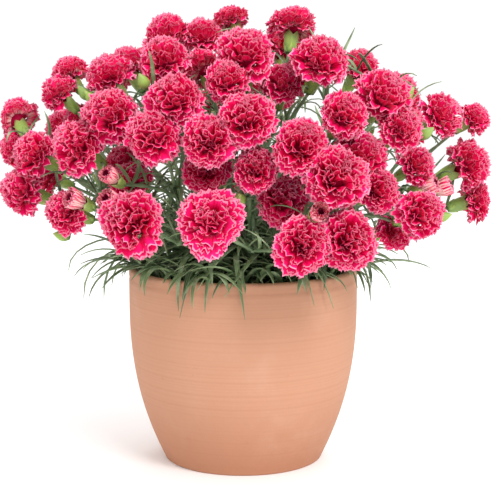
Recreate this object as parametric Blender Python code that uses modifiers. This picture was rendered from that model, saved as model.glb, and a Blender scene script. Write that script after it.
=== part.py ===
"""A potted dianthus: a bell-shaped terracotta pot, its soil, seven leafy flowering shoots and their blooms.

Metres, +Z up. The origin is on the pot's axis, on the surface that the pot stands on, and -Y is the front.
Each shoot stands in a plain hole in the soil. It carries stems, narrow leaves in pairs, green buds and the
green cups (calyces) that hold the blooms. Every bloom is a stack of ruffled petal tiers, and two blooms that
press against each other are one body.
"""

import math
import random

import bmesh
import bpy
import numpy as np
from mathutils import Matrix, Vector

MM = 0.001
GAP = 0.3 * MM

# Terracotta pot
POT_HEIGHT = 170 * MM
RIM_RADIUS = 100 * MM
FOOT_RADIUS = 69 * MM
BELLY_TOP = 140 * MM
BELLY_POWER = 2.3
WALL = 8 * MM
FLOOR = 10 * MM
DRAIN_RADIUS = 8 * MM
POT_SIDES = 24
OUTER_HEIGHTS = [162, 130, 90, 50, 20, 1.5]
INNER_HEIGHTS = [10, 50, 100, 162]

# Soil and the holes that the shoots stand in
SOIL_EDGE = 157 * MM
SOIL_CROWN = 161 * MM
HOLE_RADIUS = 5.6 * MM
HOLE_DEPTH = 16 * MM

# Shoots: one in the middle and a ring round it
RING_SHOOTS = 6
RING_RADIUS = 32 * MM
RING_START = math.radians(-78)
MIDDLE_REACH = 72 * MM
TRUNK_RADIUS = 4.4 * MM
TRUNK_RISE = 16 * MM
STEM_RADIUS = 1.9 * MM
STALK_RADIUS = 1.4 * MM
HEADS_PER_STEM = 4
STEM_SPREAD = 80 * MM

# Blooms, as x, y, z and radius in millimetres: the ones that show from the front, as they stand
HEADS = [
    (-196, 5, 302, 17), (-198, 2, 268, 15), (-167, -60, 280, 19), (-133, -105, 277, 21), (-183, -58, 232, 20),
    (-164, -18, 250, 16), (-142, -92, 224, 18), (-148, 10, 340, 15), (-157, -12, 315, 16), (-140, 5, 295, 16),
    (-112, -20, 333, 19), (-100, -108, 308, 22), (-66, -136, 290, 21), (-98, -58, 268, 16), (-81, -150, 224, 24),
    (-88, -98, 246, 17), (-64, -5, 368, 19), (-62, -88, 348, 20), (-33, -8, 365, 18), (-10, 14, 383, 15),
    (-32, -55, 340, 17), (4, -92, 354, 23), (-52, -124, 318, 21), (-14, -122, 329, 17), (43, 8, 378, 19),
    (60, -92, 346, 21), (34, -74, 330, 17), (100, 16, 339, 18), (111, -90, 321, 22), (80, -124, 304, 18),
    (6, -143, 301, 21), (11, -138, 270, 17), (-29, -147, 287, 20), (-28, -110, 262, 18), (43, -146, 284, 21),
    (122, -106, 290, 17), (166, -25, 300, 19), (198, 0, 297, 14), (190, -10, 262, 22), (140, -60, 264, 16),
    (72, -150, 257, 24), (95, -110, 277, 20), (106, -122, 247, 17), (32, -110, 238, 20), (-24, -163, 228, 24),
    (43, -161, 211, 22), (84, -150, 214, 22), (139, -116, 228, 19), (122, -92, 212, 15), (203, 0, 224, 19),
]
# Buds that are just opening, pink at the tip, in the same way
OPENING = [
    (-132, -122, 246, 9), (-104, -134, 262, 8), (-106, -142, 246, 9),
    (172, -36, 243, 9), (158, -62, 246, 9), (58, -168, 236, 8),
]
# Green buds: x, y and z in millimetres
BUDS = [
    (-135, -25, 322), (-128, -34, 318), (-78, -112, 334), (8, -126, 322), (-2, -150, 252), (-118, -66, 252),
    (-150, -70, 206), (74, -66, 358), (136, -60, 322), (170, -40, 218), (152, -60, 290), (70, -66, 300),
    (-60, 120, 318), (40, 130, 312), (118, 96, 282), (-128, 88, 286),
]
# Blooms that turn from the plant's middle in a way of their own
TURNED = {0: (-0.45, 0.65, 0.62), 7: (-0.5, 0.2, 0.85), 19: (-0.4, 0.35, 0.85), 20: (-0.35, 0.5, 0.8), 24: (0.15, 0.3, 1.0)}
MIDDLE = Vector((0, 0, 165 * MM))

# The back of the plant is filled by a rule, on the same dome as the front
DOME_CENTRE_HEIGHT = 215 * MM
DOME = Vector((196 * MM, 167 * MM, 168 * MM))
DOME_STEPS = 80
BACK_SPACING = 51 * MM
BACK_RADIUS = 20 * MM
MOST_BLOOM_NODES = 50
MOST_BEHIND = 0.6
PRESSED = 0.80
APART = 1.0
SETTLE_ROUNDS = 90

# Leaves
RIM_LEAVES = 7
LEAF_STEPS = 12
LEAF_RINGS = (0, 4, 8, 12)
LEAF_TRIES = 14
LEAF_SEED = 5
PAIR_SPACING = 46 * MM
LEAF_FREE = 15 * MM

# Green buds
BUD_RADIUS = 4.4 * MM
BUD_LENGTH = 14 * MM

FLAT_DEG = 3.5

TERRACOTTA = ((0.74, 0.41, 0.26, 1), 0.85)
EARTH = ((0.05, 0.035, 0.025, 1), 0.95)
LEAF_GREEN = ((0.10, 0.21, 0.10, 1), 0.55)
PETAL_PINK = ((0.72, 0.03, 0.16, 1), 0.6)


def outer_radius(z):
    """The pot's outside radius at height z: a bell that is upright above its belly."""
    fall = max(0.0, 1 - z / BELLY_TOP)
    return FOOT_RADIUS + (RIM_RADIUS - FOOT_RADIUS) * (1 - fall**BELLY_POWER)


def unit(v):
    return v / np.linalg.norm(v)


def gap_between(points, starts, ends):
    """The distance from every point to every segment, as a table of points by segments."""
    along = ends - starts
    length = np.maximum((along**2).sum(1), 1e-12)
    share = np.clip(((points[:, None] - starts) * along).sum(2) / length, 0, 1)
    return np.linalg.norm(points[:, None] - (starts + share[..., None] * along), axis=2)


def along_path(path, spacing=4 * MM):
    """Points on a path, no further apart than spacing."""
    found = [path[0]]
    for a, b in zip(path[:-1], path[1:]):
        steps = max(1, math.ceil(np.linalg.norm(b - a) / spacing))
        found += [a + (b - a) * k / steps for k in range(1, steps + 1)]
    return np.array(found)


# The plan: where every bloom, stem, bud and leaf goes


class Head:
    """One bloom: its middle, its radius, the way it faces, and whether it is still opening."""

    def __init__(self, centre, radius, opening=False):
        self.centre = np.array(centre, float)
        self.radius = radius
        self.opening = opening
        self.facing = unit(self.centre - np.array(MIDDLE))
        self.shoot = None

    @property
    def throat(self):
        """Where the bloom sits on its green cup."""
        return self.centre - self.facing * self.radius * (0.8 if self.opening else 0.42)

    @property
    def cup_length(self):
        return self.radius * (1.5 if self.opening else 0.85)

    @property
    def cup_radius(self):
        return self.radius * (0.62 if self.opening else 0.30)


def plan_heads():
    heads = [Head(np.array(h[:3]) * MM, h[3] * MM) for h in HEADS]
    heads += [Head(np.array(h[:3]) * MM, h[3] * MM, opening=True) for h in OPENING]
    for k in range(DOME_STEPS):
        lift = 1 - k / DOME_STEPS
        turn = math.pi * (3 - math.sqrt(5)) * k
        flat = math.sqrt(1 - lift * lift)
        spot = np.array((flat * math.cos(turn), flat * math.sin(turn), lift)) * np.array(DOME)
        spot[2] += DOME_CENTRE_HEIGHT
        if spot[1] > 0 and all(np.linalg.norm(spot - h.centre) > BACK_SPACING for h in heads):
            heads.append(Head(spot, BACK_RADIUS * (0.9 + 0.2 * (k % 3) / 2)))
    return heads


def side_by_side(a, b):
    """True where neither bloom stands behind the other, in the way of its stalk."""
    between = unit(a.centre - b.centre)
    return max(abs(between.dot(a.facing)), abs(between.dot(b.facing))) < MOST_BEHIND


def plan_pairs(heads):
    """The closest neighbours, each bloom in one pair at most, until the rest fit in the nodes."""
    ways = sorted(
        (np.linalg.norm(a.centre - b.centre) / (a.radius + b.radius), i, j)
        for i, a in enumerate(heads)
        for j, b in enumerate(heads[:i])
        if side_by_side(a, b)
    )
    pairs, used = [], set()
    for _, i, j in ways:
        if len(heads) - len(pairs) == MOST_BLOOM_NODES:
            break
        if not {i, j} & used:
            pairs.append((j, i))
            used |= {i, j}
    return pairs


def settle(heads, pairs):
    """Moves blooms apart until they only touch, and presses each pair together."""
    pressed = set(pairs)
    for _ in range(SETTLE_ROUNDS):
        for i, a in enumerate(heads):
            for j in range(i):
                b = heads[j]
                between = a.centre - b.centre
                distance = np.linalg.norm(between)
                reach = a.radius + b.radius
                if (j, i) in pressed:
                    push = PRESSED * reach - distance
                else:
                    push = max(0.0, APART * reach + 1.5 * MM - distance)
                a.centre += between / distance * push / 2
                b.centre -= between / distance * push / 2
    for k, head in enumerate(heads):
        head.facing = unit(np.array(TURNED.get(k, head.centre - np.array(MIDDLE)), float))


def shoot_roots():
    """Where each shoot leaves the soil, the middle one first."""
    roots = [np.array((0.0, 0.0))]
    for k in range(RING_SHOOTS):
        turn = RING_START + math.tau * k / RING_SHOOTS
        roots.append(RING_RADIUS * np.array((math.cos(turn), math.sin(turn))))
    return roots


def shoot_of(point):
    """The shoot that reaches a place: the middle one near the axis, else the one on that side."""
    if math.hypot(point[0], point[1]) < MIDDLE_REACH:
        return 0
    turn = math.atan2(point[1], point[0]) - RING_START
    return 1 + round(turn / (math.tau / RING_SHOOTS)) % RING_SHOOTS


class Plan:
    """Everything that grows, in places where nothing crosses another shoot, a bloom or the pot."""

    def __init__(self):
        self.heads = plan_heads()
        self.pairs = plan_pairs(self.heads)
        settle(self.heads, self.pairs)
        self.roots = shoot_roots()
        self.stems = []
        self.leaves = []
        self.buds = []
        self.bars = []
        self.centres = np.array([h.centre for h in self.heads])
        self.reaches = np.array([h.radius for h in self.heads])
        for head in self.heads:
            head.shoot = shoot_of(head.centre)
            self.bars.append((head.throat, head.throat - head.facing * head.cup_length, head.cup_radius, head.shoot))
        self.cups = len(self.bars)
        for shoot in range(len(self.roots)):
            self.grow_stems(shoot)
        for spot in BUDS:
            self.grow_bud(np.array(spot) * MM)
        self.grow_leaves()

    def room(self, path, thick, shoot, skip=None):
        """The least clearance along a path: to the blooms, the pot, the soil and what other shoots grow.

        A shoot of None is a leaf's outer part, which keeps clear of its own shoot's stems too.
        """
        points = along_path(path)
        ball = np.linalg.norm(points[:, None] - self.centres, axis=2) - self.reaches
        if skip is not None:
            ball[:, skip] = 1.0
        least = ball.min() - thick
        others = [b for b in self.bars if b[3] != shoot]
        if others:
            starts, ends = np.array([b[0] for b in others]), np.array([b[1] for b in others])
            thicks = np.array([b[2] for b in others])
            least = min(least, (gap_between(points, starts, ends) - thicks).min() - thick)
        for p in points:
            out = math.hypot(p[0], p[1])
            if p[2] < POT_HEIGHT + 6 * MM:
                outside = out - outer_radius(p[2])
                inside = RIM_RADIUS - WALL - out
                above = p[2] - POT_HEIGHT
                least = min(least, max(outside, inside, above) - thick)
            if out < RIM_RADIUS - WALL:
                least = min(least, p[2] - SOIL_CROWN - thick)
        return least

    def add_path(self, path, thick, shoot):
        self.bars += [(a, b, thick, shoot) for a, b in zip(path[:-1], path[1:])]

    def crown(self, shoot):
        return np.array((*self.roots[shoot], SOIL_CROWN + TRUNK_RISE))

    def groups(self, shoot):
        """A shoot's blooms in bunches of near neighbours, which share a stem."""
        left = [k for k, h in enumerate(self.heads) if h.shoot == shoot]
        while left:
            first = left.pop(0)
            near = sorted(left, key=lambda k: np.linalg.norm(self.centres[k] - self.centres[first]))
            bunch = [first]
            for k in near[: HEADS_PER_STEM - 1]:
                if np.linalg.norm(self.centres[k] - self.centres[first]) < STEM_SPREAD:
                    bunch.append(k)
                    left.remove(k)
            yield bunch

    def grow_stems(self, shoot):
        """One stem to each bunch of blooms, then a stalk to each bloom, by the clearest of several routes."""
        crown = self.crown(shoot)
        start = crown - np.array((0, 0, 0.5 * TRUNK_RISE))
        for bunch in self.groups(shoot):
            feet = [self.heads[k].throat - self.heads[k].facing * self.heads[k].cup_length for k in bunch]
            middle = np.mean(feet, axis=0)
            routes = []
            for share in (0.62, 0.5, 0.74, 0.4):
                for side in (0, 10, -10, 20, -20):
                    across = unit(np.cross(middle - crown, (0, 0, 1.0)) + np.array((1e-6, 0, 0)))
                    fork = crown + share * (middle - crown) + across * side * MM
                    elbow = (start + fork) / 2 + np.array((0, 0, 5 * MM))
                    path = [start, elbow, fork]
                    worth = min(self.room(path, STEM_RADIUS, shoot), 2 * MM)
                    worth += sum(min(0.0, self.room([fork, foot], STALK_RADIUS, shoot)) for foot in feet)
                    routes.append((worth - 0.05 * abs(side) * MM, -len(routes), path))
            path = max(routes)[2]
            self.stems.append({"path": path, "radius": STEM_RADIUS, "shoot": shoot})
            self.add_path(path, STEM_RADIUS, shoot)
            for k, foot in zip(bunch, feet):
                self.grow_stalk(path[-1], k, foot, shoot)

    def grow_stalk(self, fork, k, foot, shoot):
        """The stalk from a fork to a bloom's cup, bent clear of the other blooms."""
        head = self.heads[k]
        fork = fork - unit(fork - self.crown(shoot)) * (1 + k % 4) * 1.1 * MM
        across = unit(np.cross(foot - fork, (0, 0, 1.0)) + np.array((1e-6, 0, 0)))
        over = unit(np.cross(across, foot - fork))
        routes = []
        for bend in (0, 5, 10, 16, 24):
            for turn in range(8 if bend else 1):
                sway = across * math.cos(turn * math.pi / 4) + over * math.sin(turn * math.pi / 4)
                knee = (fork + foot) / 2 + sway * bend * MM
                worth = min(self.room([fork, knee, foot], STALK_RADIUS, shoot), 2 * MM)
                routes.append((worth - 0.05 * bend * MM, -len(routes), [fork, knee, foot]))
        path = max(routes)[2]
        self.stems.append({"path": path, "radius": STALK_RADIUS, "shoot": shoot, "head": k})
        self.add_path(path, STALK_RADIUS, shoot)

    def grow_bud(self, spot):
        """A green bud on a short side stalk from the nearest stem of its shoot, where there is room for it."""
        shoot = shoot_of(spot)
        own = [s for s in self.stems if s["shoot"] == shoot and "head" not in s]
        stem = min(own, key=lambda s: np.linalg.norm(s["path"][-1] - spot))
        fork = stem["path"][-1]
        facing = unit(spot - np.array(MIDDLE))
        for pull in (0, 4, 8, 12, 16, 20, 26):
            centre = spot - facing * pull * MM
            path = [fork, centre - facing * 6 * MM]
            if self.room([centre, centre], 6.5 * MM, shoot) > 0 and self.room(path, STALK_RADIUS, shoot) > 0:
                bud = {"centre": centre, "facing": facing, "shoot": shoot}
                self.buds.append(bud)
                self.stems.append({"path": path, "radius": STALK_RADIUS, "shoot": shoot, "bud": bud})
                self.add_path([fork, centre], 5.5 * MM, shoot)
                return

    def grow_leaves(self):
        """Arching leaves low on every shoot, then pairs up the stems, each redrawn until it has room."""
        draw = random.Random(LEAF_SEED)
        for shoot in range(1, len(self.roots)):
            home = math.atan2(self.roots[shoot][1], self.roots[shoot][0])
            for k in range(RIM_LEAVES):
                side = ((k + 0.5) / RIM_LEAVES - 0.5) * 1.25 * math.tau / RING_SHOOTS
                self.grow_leaf(shoot, self.crown(shoot), home + side, draw, low=True)
        for stem in list(self.stems):
            if "head" in stem or "bud" in stem:
                continue
            path = along_path(stem["path"], 2 * MM)
            joint = int(PAIR_SPACING / (2 * MM))
            turn = draw.uniform(0, math.tau)
            for spot in path[joint::joint]:
                turn += math.pi / 2
                for side in (0, math.pi):
                    self.grow_leaf(stem["shoot"], spot, turn + side, draw, low=False)

    def grow_leaf(self, shoot, spot, heading, draw, low):
        width = draw.uniform(4.6, 6.0) * MM if low else draw.uniform(3.6, 4.8) * MM
        for _ in range(LEAF_TRIES):
            if low:
                length = draw.uniform(62, 104) * MM
                start = spot - np.array((0, 0, draw.uniform(2, 10) * MM))
                shape = (heading + draw.uniform(-0.2, 0.2), draw.uniform(-0.5, 0.5),
                         draw.uniform(0.35, 1.15), draw.uniform(-1.5, -0.5), length, width)
            else:
                length = draw.uniform(34, 62) * MM
                start = spot
                shape = (heading + draw.uniform(-0.5, 0.5), draw.uniform(-0.9, 0.9),
                         draw.uniform(0.5, 1.2), draw.uniform(-1.2, 0.6), length, width)
            path = leaf_path(start, *shape[:5])
            bars = [path[k] for k in LEAF_RINGS]
            free = along_path(bars, 3 * MM)[int(LEAF_FREE / (3 * MM)) :]
            if self.room(free, width / 2, None) > 0.4 * MM and self.room(bars[:2], 0, shoot) > 0.4 * MM:
                self.leaves.append({"start": start, "shape": shape, "shoot": shoot})
                self.add_path(bars, width / 2, shoot)
                return


def leaf_path(start, heading, curl, pitch, droop, length):
    """The midrib of a leaf: it sets out at pitch, ends at droop, and turns aside by curl on the way."""
    spots = [np.array(start, float)]
    for k in range(LEAF_STEPS):
        share = (k + 0.5) / LEAF_STEPS
        up = pitch + (droop - pitch) * share
        turn = heading + curl * share
        way = np.array((math.cos(up) * math.cos(turn), math.cos(up) * math.sin(turn), math.sin(up)))
        spots.append(spots[-1] + way * length / LEAF_STEPS)
    return spots


# The solids


def material(name, look):
    colour, roughness = look
    made = bpy.data.materials.new(name)
    made.use_nodes = True
    shader = made.node_tree.nodes["Principled BSDF"]
    shader.inputs["Base Color"].default_value = colour
    shader.inputs["Roughness"].default_value = roughness
    made.diffuse_color = colour
    return made


def collection(name):
    made = bpy.data.collections.new(name)
    bpy.context.scene.collection.children.link(made)
    return made


def place(name, mesh, group, look=None):
    made = bpy.data.objects.new(name, mesh)
    group.objects.link(made)
    if look is not None:
        mesh.materials.clear()
        mesh.materials.append(look)
    return made


def finish(bm, name):
    bmesh.ops.recalc_face_normals(bm, faces=bm.faces)
    mesh = bpy.data.meshes.new(name)
    bm.to_mesh(mesh)
    bm.free()
    return mesh


def applied(obj):
    """Makes the object's modifiers part of its mesh."""
    bpy.context.view_layer.update()
    graph = bpy.context.evaluated_depsgraph_get()
    mesh = bpy.data.meshes.new_from_object(obj.evaluated_get(graph))
    obj.modifiers.clear()
    obj.data = mesh


def discard(group):
    for obj in list(group.objects):
        bpy.data.objects.remove(obj)
    bpy.data.collections.remove(group)


def turned(name, profile, group, look):
    """A closed outline of (radius, height) points turned about the Z axis."""
    mesh = bpy.data.meshes.new(name)
    edges = [(k, (k + 1) % len(profile)) for k in range(len(profile))]
    if profile[0][0] == 0:
        edges.pop()
    mesh.from_pydata([(r, 0, z) for r, z in profile], edges, [])
    made = place(name, mesh, group, look)
    screw = made.modifiers.new("Turn", "SCREW")
    screw.steps = screw.render_steps = POT_SIDES
    screw.use_merge_vertices = True
    screw.merge_threshold = 0.0001
    return made


def make_pot(group, look):
    outline = [(RIM_RADIUS - 0.7 * WALL, POT_HEIGHT), (RIM_RADIUS - 0.25 * WALL, POT_HEIGHT)]
    outline += [(outer_radius(z * MM), z * MM) for z in OUTER_HEIGHTS]
    outline += [(outer_radius(0) - 2 * MM, 0), (DRAIN_RADIUS, 0), (DRAIN_RADIUS, FLOOR)]
    outline += [(outer_radius(z * MM) - WALL, z * MM) for z in INNER_HEIGHTS]
    pot = turned("pot", outline, group, look)
    pot.data.shade_smooth()
    return pot


def make_soil(group, cutters, look, roots):
    """The soil fills the pot to just under its rim, and has a plain hole for each shoot."""
    wall = [(outer_radius(z * MM) - WALL - 0.5 * MM, z * MM) for z in reversed(INNER_HEIGHTS[1:-1])]
    outline = [(0, SOIL_CROWN), (0.6 * RIM_RADIUS, SOIL_CROWN - 0.5 * MM), (RIM_RADIUS - WALL - 0.5 * MM, SOIL_EDGE)]
    outline += wall
    outline += [(outer_radius(FLOOR) - WALL - 0.5 * MM, FLOOR + GAP), (0, FLOOR + GAP)]
    soil = turned("soil", outline, group, look)
    for root in roots:
        bm = bmesh.new()
        bmesh.ops.create_cone(
            bm, cap_ends=True, segments=8, radius1=HOLE_RADIUS, radius2=HOLE_RADIUS, depth=2 * HOLE_DEPTH
        )
        cutter = place("stem_hole", finish(bm, "stem_hole"), cutters)
        cutter.location = (root[0], root[1], SOIL_CROWN)
        cutter.hide_render = True
        cutter.display_type = "WIRE"
    cut = soil.modifiers.new("Stem holes", "BOOLEAN")
    cut.operation = "DIFFERENCE"
    cut.operand_type = "COLLECTION"
    cut.collection = cutters
    return soil


def zip_rings(bm, lower, upper):
    """Triangles between two rings of (angle, vertex), each ring in order of angle."""
    i = j = 0
    while i < len(lower) or j < len(upper):
        ahead_low = lower[(i + 1) % len(lower)][0] + math.tau * ((i + 1) // len(lower))
        ahead_up = upper[(j + 1) % len(upper)][0] + math.tau * ((j + 1) // len(upper))
        low, up = lower[i % len(lower)][1], upper[j % len(upper)][1]
        if j == len(upper) or (i < len(lower) and ahead_low <= ahead_up):
            bm.faces.new((low, lower[(i + 1) % len(lower)][1], up))
            i += 1
        else:
            bm.faces.new((low, upper[(j + 1) % len(upper)][1], up))
            j += 1


def tier_ring(bm, radius, height, petals, corners, phase, ruffle, draw):
    """A ring with one vertex to each petal, or one at each of its two corners, waved by ruffle."""
    ring = []
    for k in range(petals):
        for side in (-1, 1) if corners == 2 else (0,):
            turn = math.tau * (k + phase) / petals + side * 0.31 * math.tau / petals
            turn += draw.uniform(-0.05, 0.05)
            out = radius * (1 + ruffle * draw.uniform(-1.2, 0.0))
            lift = height + radius * ruffle * (0.9 * side + draw.uniform(-0.4, 0.4))
            vertex = bm.verts.new((out * math.cos(turn), out * math.sin(turn), lift))
            ring.append((turn % math.tau, vertex))
    return sorted(ring, key=lambda spot: spot[0])


def bloom_mesh(name, head, draw):
    """Tiers of five petals round a core, each tier turned half a petal from the one below."""
    bm = bmesh.new()
    if head.opening:
        tiers = [(0.62, 0.0, 1, 0), (1.0, 1.0, 2, 0.10), (0.45, 0.95, 1, 0)]
        top = 1.25
    else:
        tiers = [(0.26, 0.0, 1, 0), (1.0, 0.18, 2, 0.10), (0.46, 0.38, 1, 0), (0.86, 0.68, 2, 0.12), (0.26, 0.66, 1, 0)]
        top = 0.92
    before = None
    for k, (out, lift, corners, ruffle) in enumerate(tiers):
        ring = tier_ring(bm, out * head.radius, lift * head.radius, 5, corners, 0.25 + 0.25 * k, ruffle, draw)
        if before is None:
            bm.faces.new([vertex for _, vertex in reversed(ring)])
        else:
            zip_rings(bm, before, ring)
        before = ring
    tip = bm.verts.new((0, 0, top * head.radius))
    for k, (_, vertex) in enumerate(before):
        bm.faces.new((vertex, before[(k + 1) % len(before)][1], tip))
    return finish(bm, name)


def bloom_matrix(head):
    """Places a bloom's base on its cup, with a small gap, its axis along the way it faces."""
    turn = Vector(head.facing).to_track_quat("Z", "Y").to_matrix().to_4x4()
    return Matrix.Translation(Vector(head.throat) + GAP * Vector(head.facing)) @ turn


def part_petals(bloom, plan, members):
    """Cuts petals back from any stem, leaf or other bloom's cup that passes close to a bloom's middle."""
    near = collection("near")
    for index, (start, end, thick, _) in enumerate(plan.bars):
        own_cup = index in members
        for k in members:
            head = plan.heads[k]
            gap = gap_between(head.centre[None], start[None], end[None])[0, 0]
            if gap < 1.15 * head.radius + thick and np.linalg.norm(end - start) > 1e-6:
                wide = 1.3 * thick + 0.5 * MM
                reach = unit(end - start) * 1.5 * MM
                loft([start if own_cup else start - reach, end + reach], [wide, wide], (6, 6), near)
                break
    if near.objects:
        cut = bloom.modifiers.new("Part", "BOOLEAN")
        cut.operation = "DIFFERENCE"
        cut.operand_type = "COLLECTION"
        cut.collection = near
        cut.solver = "MANIFOLD"
        applied(bloom)
        fill_pockets(bloom.data)
    discard(near)


def make_blooms(plan, group, look):
    """One node for each bloom or pressed pair, named in order."""
    partner = dict(plan.pairs)
    alone = [k for k in range(len(plan.heads)) if k not in partner.values()]
    for number, k in enumerate(alone):
        head = plan.heads[k]
        name = f"bloom_{number + 1:02d}"
        bloom = place(name, bloom_mesh(name, head, random.Random(k)), group, look)
        bloom.matrix_world = bloom_matrix(head)
        members = [k]
        if k in partner:
            members.append(partner[k])
            other = plan.heads[partner[k]]
            pressed = collection("pressed")
            neighbour = place("neighbour", bloom_mesh("neighbour", other, random.Random(partner[k])), pressed)
            neighbour.matrix_world = bloom_matrix(other)
            shared_petal(head, other, pressed)
            join(bloom, pressed)
        part_petals(bloom, plan, members)
        bloom.data.materials.clear()
        bloom.data.materials.append(look)


def shared_petal(head, other, group):
    """A flattened bar from core to core, where the petals of two pressed blooms lie on each other."""
    ends = [Vector(h.centre + 0.1 * h.radius * h.facing) for h in (head, other)]
    along = ends[1] - ends[0]
    bm = bmesh.new()
    width = 0.3 * min(head.radius, other.radius)
    bmesh.ops.create_cone(bm, cap_ends=True, segments=6, radius1=width, radius2=width, depth=along.length)
    bmesh.ops.scale(bm, verts=bm.verts, vec=(1, 0.6, 1))
    petal = place("shared_petal", finish(bm, "shared_petal"), group)
    petal.matrix_world = Matrix.Translation((ends[0] + ends[1]) / 2) @ along.to_track_quat("Z", "Y").to_matrix().to_4x4()


def join(base, group):
    """Makes base and everything in group one body."""
    union = base.modifiers.new("Join", "BOOLEAN")
    union.operation = "UNION"
    union.operand_type = "COLLECTION"
    union.collection = group
    union.solver = "MANIFOLD"
    applied(base)
    discard(group)
    fill_pockets(base.data)


def shells(bm):
    """The faces of each connected shell."""
    left = set(bm.faces)
    while left:
        shell, edge = set(), [left.pop()]
        while edge:
            face = edge.pop()
            shell.add(face)
            near = {f for e in face.edges for f in e.link_faces} & left
            left -= near
            edge += near
        yield shell


def part_faces(bm, edge):
    """Gives one of two flat faces that were both split along the same line a point of its own there."""
    bm.normal_update()
    first = edge.link_loops[0]
    across = [loop.face for loop in edge.link_loops if loop.vert != first.vert]
    one = first.face
    two = max(across, key=lambda f: f.normal.dot(one.normal))
    corners = [next(v for v in f.verts if v not in edge.verts) for f in (one, two)]
    middle = (edge.verts[0].co + edge.verts[1].co) / 2
    far = max(corners, key=lambda v: (v.co - middle).length)
    spot = bm.verts.new(middle.lerp(far.co, 0.3))
    sides = []
    for face in (one, two):
        for loop in face.loops:
            if loop.edge != edge:
                sides.append((loop.vert, loop.link_loop_next.vert))
        bm.faces.remove(face)
    for a, b in sides:
        bm.faces.new((a, b, spot))


def fill_pockets(mesh):
    """Splits a joined mesh into triangles, and fills the closed pockets left where several stems meet."""
    bm = bmesh.new()
    bm.from_mesh(mesh)
    bmesh.ops.dissolve_limit(bm, angle_limit=math.radians(FLAT_DEG), verts=bm.verts, edges=bm.edges)
    bmesh.ops.triangulate(bm, faces=bm.faces, ngon_method="EAR_CLIP")
    for edge in [e for e in bm.edges if len(e.link_faces) > 2]:
        part_faces(bm, edge)
    for shell in list(shells(bm)):
        volume = sum(f.verts[0].co.dot(f.verts[1].co.cross(f.verts[2].co)) for f in shell)
        if volume < 0:
            bmesh.ops.delete(bm, geom=list(shell), context="FACES")
    bm.to_mesh(mesh)
    bm.free()


def loft(path, radii, corners, group):
    """A closed tube along a path, with a radius and a number of corners at each of its points."""
    bm = bmesh.new()
    along = unit(np.array(path[-1]) - np.array(path[0]))
    reference = np.eye(3)[np.argmin(np.abs(along))]
    before = None
    for k, spot in enumerate(path):
        way = unit(path[min(k + 1, len(path) - 1)] - path[max(k - 1, 0)])
        side = unit(np.cross(way, reference))
        over = np.cross(way, side)
        ring = []
        for c in range(corners[k]):
            turn = math.tau * (c + 0.5) / corners[k]
            ring.append((turn, bm.verts.new(spot + radii[k] * (side * math.cos(turn) + over * math.sin(turn)))))
        if before is None:
            bm.faces.new([vertex for _, vertex in reversed(ring)])
        else:
            zip_rings(bm, before, ring)
        before = ring
    bm.faces.new([vertex for _, vertex in before])
    return place("stem", finish(bm, "stem"), group)


def stalk_and_cup(stem, head, group):
    """A stalk that widens into the green cup under its bloom."""
    thin = stem["radius"]
    radii = [thin, thin, max(thin, 0.5 * head.cup_radius), head.cup_radius]
    loft([*stem["path"][:3], head.throat], radii, (3, 3, 5, 5), group)


def green_bud(bud, path, group):
    """A side stalk that swells into a closed bud."""
    tip = bud["centre"] + bud["facing"] * BUD_LENGTH / 2
    foot = bud["centre"] - bud["facing"] * BUD_LENGTH / 2
    waist = bud["centre"] + bud["facing"] * 0.1 * BUD_LENGTH
    radii = [STALK_RADIUS, STALK_RADIUS, BUD_RADIUS, 0.3 * BUD_RADIUS]
    loft([path[0], foot, waist, tip], radii, (3, 3, 6, 3), group)


def leaf_width(share, width):
    return width * (1 - share**2.2) ** 0.8


def leaf_blade(leaf, group):
    """A keeled blade, flat on top: two edges and a keel at each ring, drawn out to a point."""
    heading, curl, _, _, _, width = leaf["shape"]
    path = leaf_path(leaf["start"], *leaf["shape"][:5])
    bm = bmesh.new()
    rings = []
    for k in LEAF_RINGS[:-1]:
        share = k / LEAF_STEPS
        turn = heading + curl * share
        side = np.array((-math.sin(turn), math.cos(turn), 0)) * leaf_width(share, width) / 2
        way = unit(path[k + 1] - path[max(0, k - 1)])
        keel = unit(np.cross(side, way)) * -0.3 * leaf_width(share, width)
        rings.append([bm.verts.new(path[k] + offset) for offset in (side, -side, keel)])
    for low, high in zip(rings[:-1], rings[1:]):
        for k in range(3):
            bm.faces.new((low[k], low[(k + 1) % 3], high[(k + 1) % 3], high[k]))
    tip = bm.verts.new(path[-1])
    for k in range(3):
        bm.faces.new((rings[-1][k], rings[-1][(k + 1) % 3], tip))
    bm.faces.new(list(reversed(rings[0])))
    place("leaf", finish(bm, "leaf"), group)


def make_shoot(plan, shoot, group, look):
    root = plan.roots[shoot]
    bm = bmesh.new()
    foot = SOIL_CROWN - HOLE_DEPTH + 2 * MM
    depth = SOIL_CROWN + TRUNK_RISE - foot
    bmesh.ops.create_cone(
        bm, cap_ends=True, segments=6, radius1=TRUNK_RADIUS, radius2=0.7 * TRUNK_RADIUS, depth=depth
    )
    trunk = place(f"shoot_{shoot + 1}", finish(bm, "trunk"), group)
    trunk.location = (root[0], root[1], foot + depth / 2)
    growth = collection("growth")
    for stem in plan.stems:
        if stem["shoot"] != shoot:
            continue
        if "head" in stem:
            stalk_and_cup(stem, plan.heads[stem["head"]], growth)
        elif "bud" in stem:
            green_bud(stem["bud"], stem["path"], growth)
        else:
            loft(stem["path"], [stem["radius"]] * len(stem["path"]), [3] * len(stem["path"]), growth)
    for leaf in plan.leaves:
        if leaf["shoot"] == shoot:
            leaf_blade(leaf, growth)
    join(trunk, growth)
    trunk.data.materials.clear()
    trunk.data.materials.append(look)


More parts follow.
